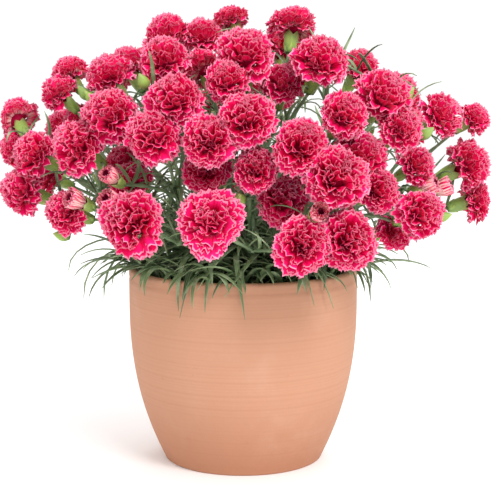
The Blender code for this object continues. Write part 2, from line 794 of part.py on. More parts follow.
def main():
    for obj in list(bpy.data.objects):
        bpy.data.objects.remove(obj)
    plan = Plan()
    dianthus = collection("potted_dianthus")
    cutters = collection("cutters")
    make_pot(dianthus, material("terracotta", TERRACOTTA))
    make_soil(dianthus, cutters, material("potting_soil", EARTH), plan.roots)
    green = material("leaf_green", LEAF_GREEN)
    for shoot in range(len(plan.roots)):
        make_shoot(plan, shoot, dianthus, green)
    make_blooms(plan, dianthus, material("petal_pink", PETAL_PINK))
    print(len(plan.heads), "blooms,", len(plan.pairs), "pairs,", len(plan.leaves), "leaves,", len(plan.buds), "buds")


main()
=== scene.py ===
# %% [markdown]
# # A potted dianthus
# This lesson dresses a plain CAD model of a carnation plant until it looks like the real one. The CAD holds
# the right shapes at the right sizes, but each of its blooms is only a stack of ruffled tiers. Here every
# bloom gets its real petals, every stem its leaves, and the pot its fired clay.
#
# The first step loads the CAD model. It is already in metres, with the pot's foot on the ground at the origin
# and the front towards -Y, so every new piece goes straight to its own place.

import math
import random

import bmesh
import bpy
import numpy as np
from mathutils import Matrix, Vector


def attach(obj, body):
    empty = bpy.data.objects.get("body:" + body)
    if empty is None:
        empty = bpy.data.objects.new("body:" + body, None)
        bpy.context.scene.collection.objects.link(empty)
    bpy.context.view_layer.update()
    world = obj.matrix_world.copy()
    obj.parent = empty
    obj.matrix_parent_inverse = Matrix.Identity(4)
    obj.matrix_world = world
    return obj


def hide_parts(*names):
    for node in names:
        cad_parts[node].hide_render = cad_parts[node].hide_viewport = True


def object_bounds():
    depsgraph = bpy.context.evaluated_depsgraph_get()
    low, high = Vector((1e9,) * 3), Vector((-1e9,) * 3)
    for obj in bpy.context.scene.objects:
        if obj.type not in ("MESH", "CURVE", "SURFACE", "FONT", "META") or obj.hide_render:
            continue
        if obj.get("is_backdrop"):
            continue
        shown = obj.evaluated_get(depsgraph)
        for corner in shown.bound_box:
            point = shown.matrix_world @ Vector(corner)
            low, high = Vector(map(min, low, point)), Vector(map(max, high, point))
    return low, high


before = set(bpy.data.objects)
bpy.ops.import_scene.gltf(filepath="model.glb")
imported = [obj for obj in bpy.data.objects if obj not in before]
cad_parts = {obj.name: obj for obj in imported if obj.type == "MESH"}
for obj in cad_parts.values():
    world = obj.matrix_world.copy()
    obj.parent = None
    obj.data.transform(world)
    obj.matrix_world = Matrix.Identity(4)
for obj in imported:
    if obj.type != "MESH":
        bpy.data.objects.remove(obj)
cad_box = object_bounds()
MM = 0.001
print("the CAD model holds", len(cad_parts), "nodes")


# %% [markdown]
# The photograph was taken from a little above the plant, and from far enough away that the pot's sides hardly
# converge. A long lens does the same here. The pot's rim is 200 mm wide and spans 228 of the picture's 500
# pixels, which gives the distance for a given lens.

# %% Set up the camera
CAMERA_SPOT = Vector((0.006, -1.235, 0.363))
CAMERA_TARGET = Vector((0.006, 0.0, 0.1835))
PICTURE_PX = 500
FOCAL_PX = 1423
SENSOR_MM = 36

camera_data = bpy.data.cameras.new("camera")
camera_data.sensor_fit = "HORIZONTAL"
camera_data.sensor_width = SENSOR_MM
camera_data.lens = SENSOR_MM * FOCAL_PX / PICTURE_PX
camera = bpy.data.objects.new("camera", camera_data)
bpy.context.scene.collection.objects.link(camera)
camera.location = CAMERA_SPOT
camera.rotation_euler = (CAMERA_TARGET - CAMERA_SPOT).to_track_quat("-Z", "Y").to_euler()
bpy.context.scene.camera = camera
print("lens", round(camera_data.lens, 1), "mm")


# %% [markdown]
# The plant stands in a bright white studio. A white world fills every shadow, one large soft light from the
# upper right models the petals and the pot, and a weaker one from the left keeps the other side open. The
# floor is a wide pale plane, so the only edge in the picture is the plant's own soft shadow.

# %% Light the studio
LIGHT_TARGET = Vector((0, 0, 0.22))
WORLD_STRENGTH = 1.06
# Each soft light: its place in metres, the side of its square in metres, and its power in watts.
LIGHTS = {
    "key_light": ((0.9, -1.5, 1.7), 0.9, 34),
    "fill_light": ((-1.5, -1.2, 1.1), 1.3, 3),
    "back_light": ((0.3, 1.6, 1.7), 1.2, 12),
}

for name, (spot, size, power) in LIGHTS.items():
    light_data = bpy.data.lights.new(name, "AREA")
    light_data.size = size
    light_data.energy = power
    light = bpy.data.objects.new(name, light_data)
    bpy.context.scene.collection.objects.link(light)
    light.location = spot
    light.rotation_euler = (LIGHT_TARGET - Vector(spot)).to_track_quat("-Z", "Y").to_euler()

world = bpy.data.worlds.new("white_studio")
world.use_nodes = True
world.node_tree.nodes["Background"].inputs["Color"].default_value = (1, 1, 1, 1)
world.node_tree.nodes["Background"].inputs["Strength"].default_value = WORLD_STRENGTH
bpy.context.scene.world = world
bpy.context.scene.view_settings.view_transform = "Standard"
print(len(LIGHTS), "soft lights in a white room")


# %% [markdown]
# A few helpers keep the later cells short. The first turns a bmesh into a piece that rides with the pot and
# hides the CAD nodes it stands for. The others start a material, add a node with its inputs set or linked, and
# wire what every finish needs: a sum, a mix of two colours, a smooth step, noise, the piece's own UV map and
# a bump.

# %% Helpers for pieces and materials
def make_piece(name, bm, material, slot, *nodes):
    """Turns a bmesh into a smooth piece of the plant that stands for the named CAD nodes."""
    mesh = bpy.data.meshes.new(name)
    bm.to_mesh(mesh)
    bm.free()
    mesh.shade_smooth()
    mesh.materials.append(material)
    piece = bpy.data.objects.new(name, mesh)
    bpy.context.scene.collection.objects.link(piece)
    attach(piece, "root")
    if nodes:
        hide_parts(*nodes)
    return piece


def start_material(name, roughness):
    """An empty material with a Principled shader, its node tree and the shader."""
    material = bpy.data.materials.new(name)
    material.use_nodes = True
    tree = material.node_tree
    shader = tree.nodes["Principled BSDF"]
    shader.inputs["Roughness"].default_value = roughness
    return material, tree, shader


def add_node(tree, kind, values=None, **settings):
    """A node with its settings, and its inputs set from numbers or linked from other nodes' outputs."""
    node = tree.nodes.new(kind)
    for name, value in settings.items():
        setattr(node, name, value)
    for key, value in (values or {}).items():
        if isinstance(value, bpy.types.NodeSocket):
            tree.links.new(value, node.inputs[key])
        else:
            node.inputs[key].default_value = value
    return node


def calc(tree, operation, *values, clamp=False):
    """The output of a Math node on one or two values."""
    return add_node(
        tree, "ShaderNodeMath", dict(enumerate(values)), operation=operation, use_clamp=clamp
    ).outputs[0]


def mixed(tree, share, first, second):
    """The colour output of a mix from the first colour to the second."""
    return add_node(tree, "ShaderNodeMix", {0: share, 6: first, 7: second}, data_type="RGBA").outputs[2]


def ramp(tree, value, low, high, top=1.0):
    """A smooth step from 0 to top as value goes from low to high."""
    ends = {"Value": value, "From Min": low, "From Max": high, "To Max": top}
    return add_node(tree, "ShaderNodeMapRange", ends, interpolation_type="SMOOTHSTEP").outputs["Result"]


def noise(tree, vector, scale, detail):
    """The value of a noise texture at a vector."""
    values = {"Vector": vector, "Scale": scale, "Detail": detail}
    return add_node(tree, "ShaderNodeTexNoise", values).outputs["Fac"]


def uv_parts(tree):
    """The two coordinates of a piece's own UV map."""
    uv = add_node(tree, "ShaderNodeSeparateXYZ", {0: add_node(tree, "ShaderNodeUVMap").outputs["UV"]})
    return uv.outputs["X"], uv.outputs["Y"]


def add_bump(tree, shader, height, strength, distance):
    """Shades a surface as if height raised it."""
    bump = add_node(tree, "ShaderNodeBump", {"Height": height, "Strength": strength, "Distance": distance})
    tree.links.new(bump.outputs["Normal"], shader.inputs["Normal"])


print("helpers ready")


# %% [markdown]
# Fired clay, leaves and soil all have soft mottling. It is one node group, built once: noise on the object's
# own coordinates, at a size and strength that each material gives, comes out as a shade from dark to light.

# %% A node group for mottling
def build_mottling():
    group = bpy.data.node_groups.new("mottling", "ShaderNodeTree")
    for name in ("Scale", "Contrast"):
        group.interface.new_socket(name=name, in_out="INPUT", socket_type="NodeSocketFloat")
    group.interface.new_socket(name="Shade", in_out="OUTPUT", socket_type="NodeSocketFloat")
    entry = group.nodes.new("NodeGroupInput")
    leave = group.nodes.new("NodeGroupOutput")
    place = group.nodes.new("ShaderNodeTexCoord").outputs["Object"]
    values = {"Vector": place, "Scale": entry.outputs["Scale"], "Detail": 5.0, "Roughness": 0.6}
    grain = add_node(group, "ShaderNodeTexNoise", values).outputs["Fac"]
    spread = calc(group, "MULTIPLY", calc(group, "SUBTRACT", grain, 0.5), entry.outputs["Contrast"])
    group.links.new(calc(group, "ADD", spread, 0.5, clamp=True), leave.inputs["Shade"])
    return group


MOTTLING = build_mottling()


def mottled(tree, scale, contrast):
    """Mottling at one scale and contrast, as a shade from 0 to 1."""
    node = tree.nodes.new("ShaderNodeGroup")
    node.node_tree = MOTTLING
    node.inputs["Scale"].default_value = scale
    node.inputs["Contrast"].default_value = contrast
    return node.outputs["Shade"]


print("mottling group ready")


# %% [markdown]
# The floor is a large plain square, pale enough to merge with the white room. It is stage, not part of the
# plant.

# %% Lay the floor
FLOOR_COLOUR = (0.95, 0.95, 0.95, 1)
FLOOR_HALF = 6.0

floor_bm = bmesh.new()
bmesh.ops.create_grid(floor_bm, x_segments=1, y_segments=1, size=FLOOR_HALF)
floor_mesh = bpy.data.meshes.new("floor")
floor_bm.to_mesh(floor_mesh)
floor_bm.free()
floor = bpy.data.objects.new("floor", floor_mesh)
bpy.context.scene.collection.objects.link(floor)
floor_material, _, floor_shader = start_material("pale_floor", 0.9)
floor_shader.inputs["Base Color"].default_value = FLOOR_COLOUR
floor_mesh.materials.append(floor_material)
floor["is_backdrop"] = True
print("floor laid")


# %% [markdown]
# The pot was thrown on a wheel: a narrow foot, a belly that swells fast and then stands upright, and a thin
# rounded rim. A wheel-thrown wall is a profile turned about an axis, so the pot is a row of vertices spun
# through a full turn. The profile follows the CAD's law for the outside, and adds the round foot, the
# shallow groove under the rim and the soft lip.

# %% Throw the pot
POT_HEIGHT = 170 * MM
RIM_RADIUS = 100 * MM
FOOT_RADIUS = 69 * MM
FOOT_ROUND = 2.2 * MM
FOOT_RING = 3 * MM
BELLY_TOP = 140 * MM
BELLY_POWER = 2.3
WALL = 8 * MM
POT_FLOOR = 10 * MM
DRAIN_RADIUS = 8 * MM
LIP_ROUND = 0.42 * WALL
LIP_FLATNESS = 0.8
GROOVE_HEIGHT = 161.5 * MM
GROOVE_DEPTH = 0.35 * MM
GROOVE_WIDTH = 1.1 * MM
FINE_ROWS_FROM = 155 * MM
INSIDE_TOP = 158 * MM
POT_STEPS = 128


def outer_radius(z):
    """The pot's outside radius at height z: a bell that is upright above its belly."""
    fall = max(0.0, 1 - z / BELLY_TOP)
    return FOOT_RADIUS + (RIM_RADIUS - FOOT_RADIUS) * (1 - fall**BELLY_POWER)


def pot_profile():
    """The wall as a closed row of (radius, height), up the outside and down the inside."""
    rows = [(DRAIN_RADIUS, 0.0), (FOOT_RADIUS - FOOT_RING, 0.0)]
    base = outer_radius(FOOT_ROUND) - FOOT_ROUND
    for k in range(6):
        turn = math.pi / 2 * k / 5
        rows.append((base + FOOT_ROUND * math.sin(turn), FOOT_ROUND * (1 - math.cos(turn))))
    height = 4 * MM
    while height < POT_HEIGHT - 3 * MM:
        groove = GROOVE_DEPTH * math.exp(-(((height - GROOVE_HEIGHT) / GROOVE_WIDTH) ** 2))
        rows.append((outer_radius(height) - groove, height))
        height += 1.0 * MM if height > FINE_ROWS_FROM else 3 * MM
    for k in range(9):
        turn = math.pi * k / 8
        radius = RIM_RADIUS - LIP_ROUND + LIP_ROUND * math.cos(turn)
        rise = LIP_FLATNESS * LIP_ROUND * math.sin(turn)
        rows.append((radius, POT_HEIGHT - LIP_FLATNESS * LIP_ROUND + rise))
    for k in range(16):
        height = INSIDE_TOP - (INSIDE_TOP - POT_FLOOR) * k / 15
        rows.append((outer_radius(height) - WALL, height))
    rows.append((DRAIN_RADIUS, POT_FLOOR))
    return rows


def spin_profile(rows, steps):
    """Turns a closed row of (radius, height) points about the Z axis."""
    bm = bmesh.new()
    verts = [bm.verts.new((r, 0, z)) for r, z in rows]
    edges = [bm.edges.new((verts[k], verts[(k + 1) % len(verts)])) for k in range(len(verts))]
    bmesh.ops.spin(
        bm, geom=[*verts, *edges], cent=(0, 0, 0), axis=(0, 0, 1), angle=math.tau, steps=steps, use_merge=True
    )
    bmesh.ops.remove_doubles(bm, verts=bm.verts, dist=0.00001)
    bmesh.ops.recalc_face_normals(bm, faces=bm.faces)
    return bm


# %% [markdown]
# The clay is pale orange, warmer and darker towards the foot, with fine rings left by the wheel, a chalky
# bloom and specks. Just under the rim it is darker too, partly a damp stain and partly painted shade from the
# leaves above, and the groove there is darkened with painted shade. The rings are noise on height alone, so
# they run round the pot. They and a little grit also feed the bump.

# %% Fire the clay
CLAY_PALE = (0.535, 0.270, 0.166, 1)
CLAY_WARM = (0.41, 0.170, 0.088, 1)
# Partly a damp stain, partly painted shade from the leaves, just under the rim
CLAY_DAMP_AND_SHADE = (0.30, 0.145, 0.075, 1)
CLAY_CHALK = (0.62, 0.36, 0.25, 1)


def terracotta():
    material, tree, shader = start_material("terracotta", 0.82)
    place = add_node(tree, "ShaderNodeTexCoord").outputs["Object"]
    height = add_node(tree, "ShaderNodeSeparateXYZ", {0: place}).outputs["Z"]
    rings = noise(tree, add_node(tree, "ShaderNodeCombineXYZ", {2: height}).outputs[0], 420.0, 3.0)
    cloud = mottled(tree, 16.0, 1.5)
    grit = mottled(tree, 140.0, 1.6)
    colour = mixed(tree, ramp(tree, height, 0.085, 0.0, 0.7), CLAY_PALE, CLAY_WARM)
    colour = mixed(tree, ramp(tree, cloud, 0.5, 0.95, 0.4), colour, CLAY_CHALK)
    colour = mixed(tree, ramp(tree, rings, 0.40, 0.8, 0.34), colour, CLAY_WARM)
    # Darker just under the rim: partly a damp stain, partly painted shade from the leaves above
    damp_and_shade = calc(tree, "MULTIPLY", ramp(tree, height, 0.148, 0.172, 0.32), cloud)
    colour = mixed(tree, damp_and_shade, colour, CLAY_DAMP_AND_SHADE)
    # Painted shade in the groove under the rim
    groove_foot = ramp(tree, height, GROOVE_HEIGHT - 3 * MM, GROOVE_HEIGHT - 0.6 * MM)
    groove_top = ramp(tree, height, GROOVE_HEIGHT + 2.2 * MM, GROOVE_HEIGHT + 0.4 * MM, 0.22)
    colour = mixed(tree, calc(tree, "MULTIPLY", groove_foot, groove_top), colour, CLAY_WARM)
    colour = mixed(tree, ramp(tree, grit, 0.72, 0.95, 0.35), colour, CLAY_WARM)
    tree.links.new(colour, shader.inputs["Base Color"])
    add_bump(tree, shader, calc(tree, "ADD", rings, grit), 0.35, 0.0006)
    return material


pot = make_piece("pot_clay", spin_profile(pot_profile(), POT_STEPS), terracotta(), "terracotta", "pot")
print("pot:", len(pot.data.polygons), "faces")


# %% [markdown]
# Potting soil is dark peat in crumbs, with a few pale grains. Only a little of it shows between the leaves.
# A disc can't hold crumbs, so its surface is a fine spun grid whose points are lifted and lowered at random,
# and some hundreds of small lumps lie on it. The lumps are low icospheres, each squashed and turned.

# %% Fill in the soil
SOIL_EDGE = 157 * MM
SOIL_CROWN = 161 * MM
SOIL_SINK = 2 * MM
SOIL_GAP = 0.5 * MM
SOIL_CENTRE = 0.4 * MM
SOIL_RINGS = 40
SOIL_STEPS = 96
SOIL_ROUGHNESS = 1.2 * MM
SOIL_LEVELS = (120, 80, 50, 30, 12)
SOIL_SEED = 3
CRUMBS = 420
CRUMB_SEED = 7


def soil_height(radius):
    """The soil's plain height, a shallow mound."""
    return SOIL_CROWN - SOIL_SINK - (SOIL_CROWN - SOIL_EDGE) * (radius / RIM_RADIUS) ** 2


def soil_body():
    edge = RIM_RADIUS - WALL - SOIL_GAP
    across = [SOIL_CENTRE + (edge - SOIL_CENTRE) * k / SOIL_RINGS for k in range(SOIL_RINGS + 1)]
    rows = [(radius, soil_height(radius)) for radius in across]
    rows += [(outer_radius(level * MM) - WALL - SOIL_GAP, level * MM) for level in SOIL_LEVELS]
    rows += [(SOIL_CENTRE, POT_FLOOR + 0.3 * MM)]
    bm = spin_profile(rows, SOIL_STEPS)
    draw = np.random.default_rng(SOIL_SEED)
    for vertex in bm.verts:
        if vertex.co.z > SOIL_EDGE - 4 * MM and vertex.co.xy.length < edge - 1 * MM:
            vertex.co.z += draw.uniform(-SOIL_ROUGHNESS, SOIL_ROUGHNESS)
    return bm


def add_crumbs(bm):
    draw = random.Random(CRUMB_SEED)
    for _ in range(CRUMBS):
        out = (RIM_RADIUS - WALL - 5 * MM) * math.sqrt(draw.random())
        turn = draw.uniform(0, math.tau)
        size = draw.uniform(0.8, 2.3) * MM
        spot = Vector((out * math.cos(turn), out * math.sin(turn), soil_height(out) + 0.4 * size))
        lump = Matrix.Diagonal((size, size * draw.uniform(0.6, 1), size * draw.uniform(0.5, 0.9), 1))
        roll = Matrix.Rotation(draw.uniform(0, 6), 4, (draw.random(), 1, 0.3))
        matrix = Matrix.Translation(spot) @ roll @ lump
        bmesh.ops.create_icosphere(bm, subdivisions=1, radius=1, matrix=matrix)


PEAT_DARK = (0.006, 0.004, 0.003, 1)
PEAT_BROWN = (0.05, 0.032, 0.02, 1)
PEAT_GRAIN = (0.22, 0.17, 0.12, 1)


def peat():
    material, tree, shader = start_material("peat", 0.95)
    colour = mixed(tree, mottled(tree, 260.0, 3.0), PEAT_DARK, PEAT_BROWN)
    colour = mixed(tree, ramp(tree, mottled(tree, 420.0, 3.5), 0.86, 0.98), colour, PEAT_GRAIN)
    tree.links.new(colour, shader.inputs["Base Color"])
    return material


soil_bm = soil_body()
add_crumbs(soil_bm)
soil = make_piece("soil_peat", soil_bm, peat(), "earth", "soil")
print("soil:", len(soil.data.polygons), "faces")


# %% [markdown]
# The next cells lay out the plant. They repeat the CAD's own plan, step for step and with the same seeds, so
# that each petal, leaf and stem grows where its solid is. First come the blooms: the ones that show from the
# front are listed one by one, in millimetres, and the back of the plant is filled by a rule.

# %% Name the plan's sizes
RING_SHOOTS = 6
RING_RADIUS = 32 * MM
RING_START = math.radians(-78)
MIDDLE_REACH = 72 * MM
TRUNK_RADIUS = 4.4 * MM
TRUNK_RISE = 16 * MM
HOLE_DEPTH = 16 * MM
STEM_RADIUS = 1.9 * MM
STALK_RADIUS = 1.4 * MM
HEADS_PER_STEM = 4
STEM_SPREAD = 80 * MM
MIDDLE = np.array((0, 0, 165 * MM))
DOME_CENTRE_HEIGHT = 215 * MM
DOME = np.array((196 * MM, 167 * MM, 168 * MM))
DOME_STEPS = 80
BACK_SPACING = 51 * MM
BACK_RADIUS = 20 * MM
MOST_BLOOM_NODES = 50
MOST_BEHIND = 0.6
PRESSED = 0.80
APART = 1.0
SETTLE_ROUNDS = 90
RIM_LEAVES = 7
LEAF_STEPS = 12
LEAF_RINGS = (0, 4, 8, 12)
LEAF_TRIES = 14
LEAF_SEED = 5
PAIR_SPACING = 46 * MM
LEAF_FREE = 15 * MM
BUD_RADIUS = 4.4 * MM
BUD_LENGTH = 14 * MM
print("plan sizes named")

# %% Place the blooms that show, as x, y, z and radius in millimetres
HEADS = [
    (-196, 5, 302, 17), (-198, 2, 268, 15), (-167, -60, 280, 19), (-133, -105, 277, 21),
    (-183, -58, 232, 20), (-164, -18, 250, 16), (-142, -92, 224, 18), (-148, 10, 340, 15),
    (-157, -12, 315, 16), (-140, 5, 295, 16), (-112, -20, 333, 19), (-100, -108, 308, 22),
    (-66, -136, 290, 21), (-98, -58, 268, 16), (-81, -150, 224, 24), (-88, -98, 246, 17),
    (-64, -5, 368, 19), (-62, -88, 348, 20), (-33, -8, 365, 18), (-10, 14, 383, 15),
    (-32, -55, 340, 17), (4, -92, 354, 23), (-52, -124, 318, 21), (-14, -122, 329, 17), (43, 8, 378, 19),
    (60, -92, 346, 21), (34, -74, 330, 17), (100, 16, 339, 18), (111, -90, 321, 22), (80, -124, 304, 18),
    (6, -143, 301, 21), (11, -138, 270, 17), (-29, -147, 287, 20), (-28, -110, 262, 18), (43, -146, 284, 21),
    (122, -106, 290, 17), (166, -25, 300, 19), (198, 0, 297, 14), (190, -10, 262, 22), (140, -60, 264, 16),
    (72, -150, 257, 24), (95, -110, 277, 20), (106, -122, 247, 17), (32, -110, 238, 20), (-24, -163, 228, 24),
    (43, -161, 211, 22), (84, -150, 214, 22), (139, -116, 228, 19), (122, -92, 212, 15), (203, 0, 224, 19),
]
OPENING = [
    (-132, -122, 246, 9), (-104, -134, 262, 8), (-106, -142, 246, 9),
    (172, -36, 243, 9), (158, -62, 246, 9), (58, -168, 236, 8),
]
BUDS = [
    (-135, -25, 322), (-128, -34, 318), (-78, -112, 334), (8, -126, 322), (-2, -150, 252), (-118, -66, 252),
    (-150, -70, 206), (74, -66, 358), (136, -60, 322), (170, -40, 218), (152, -60, 290), (70, -66, 300),
    (-60, 120, 318), (40, 130, 312), (118, 96, 282), (-128, 88, 286),
]
# Blooms that don't face straight out of the plant, by their place in HEADS
TURNED = {
    0: (-0.45, 0.65, 0.62), 7: (-0.5, 0.2, 0.85), 19: (-0.4, 0.35, 0.85), 20: (-0.35, 0.5, 0.8),
    24: (0.15, 0.3, 1.0),
}
print(len(HEADS), "open blooms and", len(OPENING), "opening ones show from the front")


# %% Some geometry for the plan
def unit(v):
    return v / np.linalg.norm(v)


def gap_between(points, starts, ends):
    """The distance from every point to every segment, as a table of points by segments."""
    along = ends - starts
    length = np.maximum((along**2).sum(1), 1e-12)
    share = np.clip(((points[:, None] - starts) * along).sum(2) / length, 0, 1)
    return np.linalg.norm(points[:, None] - (starts + share[..., None] * along), axis=2)


def along_path(path, spacing=4 * MM):
    """Points on a path, no further apart than spacing."""
    found = [path[0]]
    for a, b in zip(path[:-1], path[1:]):
        steps = max(1, math.ceil(np.linalg.norm(b - a) / spacing))
        found += [a + (b - a) * k / steps for k in range(1, steps + 1)]
    return np.array(found)


def leaf_path(start, heading, curl, pitch, droop, length):
    """The midrib of a leaf: it sets out at pitch, ends at droop, and turns aside by curl on the way."""
    spots = [np.array(start, float)]
    for k in range(LEAF_STEPS):
        share = (k + 0.5) / LEAF_STEPS
        up = pitch + (droop - pitch) * share
        turn = heading + curl * share
        way = np.array((math.cos(up) * math.cos(turn), math.cos(up) * math.sin(turn), math.sin(up)))
        spots.append(spots[-1] + way * length / LEAF_STEPS)
    return spots


print("geometry ready")


# %% Plan the blooms
class Head:
    """One bloom: its middle, its radius, the way it faces, and whether it is still opening."""

    def __init__(self, centre, radius, opening=False):
        self.centre = np.array(centre, float)
        self.radius = radius
        self.opening = opening
        self.facing = unit(self.centre - MIDDLE)
        self.shoot = None

    @property
    def throat(self):
        """Where the bloom sits on its green cup."""
        return self.centre - self.facing * self.radius * (0.8 if self.opening else 0.42)

    @property
    def cup_length(self):
        return self.radius * (1.5 if self.opening else 0.85)

    @property
    def cup_radius(self):
        return self.radius * (0.62 if self.opening else 0.30)


def plan_heads():
    heads = [Head(np.array(h[:3]) * MM, h[3] * MM) for h in HEADS]
    heads += [Head(np.array(h[:3]) * MM, h[3] * MM, opening=True) for h in OPENING]
    for k in range(DOME_STEPS):
        lift = 1 - k / DOME_STEPS
        turn = math.pi * (3 - math.sqrt(5)) * k
        flat = math.sqrt(1 - lift * lift)
        spot = np.array((flat * math.cos(turn), flat * math.sin(turn), lift)) * DOME
        spot[2] += DOME_CENTRE_HEIGHT
        if spot[1] > 0 and all(np.linalg.norm(spot - h.centre) > BACK_SPACING for h in heads):
            heads.append(Head(spot, BACK_RADIUS * (0.9 + 0.2 * (k % 3) / 2)))
    return heads


def side_by_side(a, b):
    """True where neither bloom stands behind the other, in the way of its stalk."""
    between = unit(a.centre - b.centre)
    return max(abs(between.dot(a.facing)), abs(between.dot(b.facing))) < MOST_BEHIND


def plan_pairs(heads):
    """The closest neighbours, each bloom in one pair at most, until the rest fit in the nodes."""
    ways = sorted(
        (np.linalg.norm(a.centre - b.centre) / (a.radius + b.radius), i, j)
        for i, a in enumerate(heads)
        for j, b in enumerate(heads[:i])
        if side_by_side(a, b)
    )
    pairs, used = [], set()
    for _, i, j in ways:
        if len(heads) - len(pairs) == MOST_BLOOM_NODES:
            break
        if not {i, j} & used:
            pairs.append((j, i))
            used |= {i, j}
    return pairs


def settle(heads, pairs):
    """Moves blooms apart until they only touch, and presses each pair together."""
    pressed = set(pairs)
    for _ in range(SETTLE_ROUNDS):
        for i, a in enumerate(heads):
            for j in range(i):
                b = heads[j]
                between = a.centre - b.centre
                distance = np.linalg.norm(between)
                reach = a.radius + b.radius
                if (j, i) in pressed:
                    push = PRESSED * reach - distance
                else:
                    push = max(0.0, APART * reach + 1.5 * MM - distance)
                a.centre += between / distance * push / 2
                b.centre -= between / distance * push / 2
    for k, head in enumerate(heads):
        head.facing = unit(np.array(TURNED.get(k, head.centre - MIDDLE), float))


print("bloom plan ready")


# %% [markdown]
# Next come the stems. Seven shoots stand in the soil. Each one sends a stem to every bunch of neighbouring
# blooms, and a stalk from the stem's fork to each bloom. Leaves sit in pairs on the stems, and in a tuft at
# the foot. Every route is tried several ways, and the clearest one is kept.

# %% Plan the stems, buds and leaves
def shoot_roots():
    """Where each shoot leaves the soil, the middle one first."""
    roots = [np.array((0.0, 0.0))]
    for k in range(RING_SHOOTS):
        turn = RING_START + math.tau * k / RING_SHOOTS
        roots.append(RING_RADIUS * np.array((math.cos(turn), math.sin(turn))))
    return roots


def shoot_of(point):
    """The shoot that reaches a place: the middle one near the axis, else the one on that side."""
    if math.hypot(point[0], point[1]) < MIDDLE_REACH:
        return 0
    turn = math.atan2(point[1], point[0]) - RING_START
    return 1 + round(turn / (math.tau / RING_SHOOTS)) % RING_SHOOTS


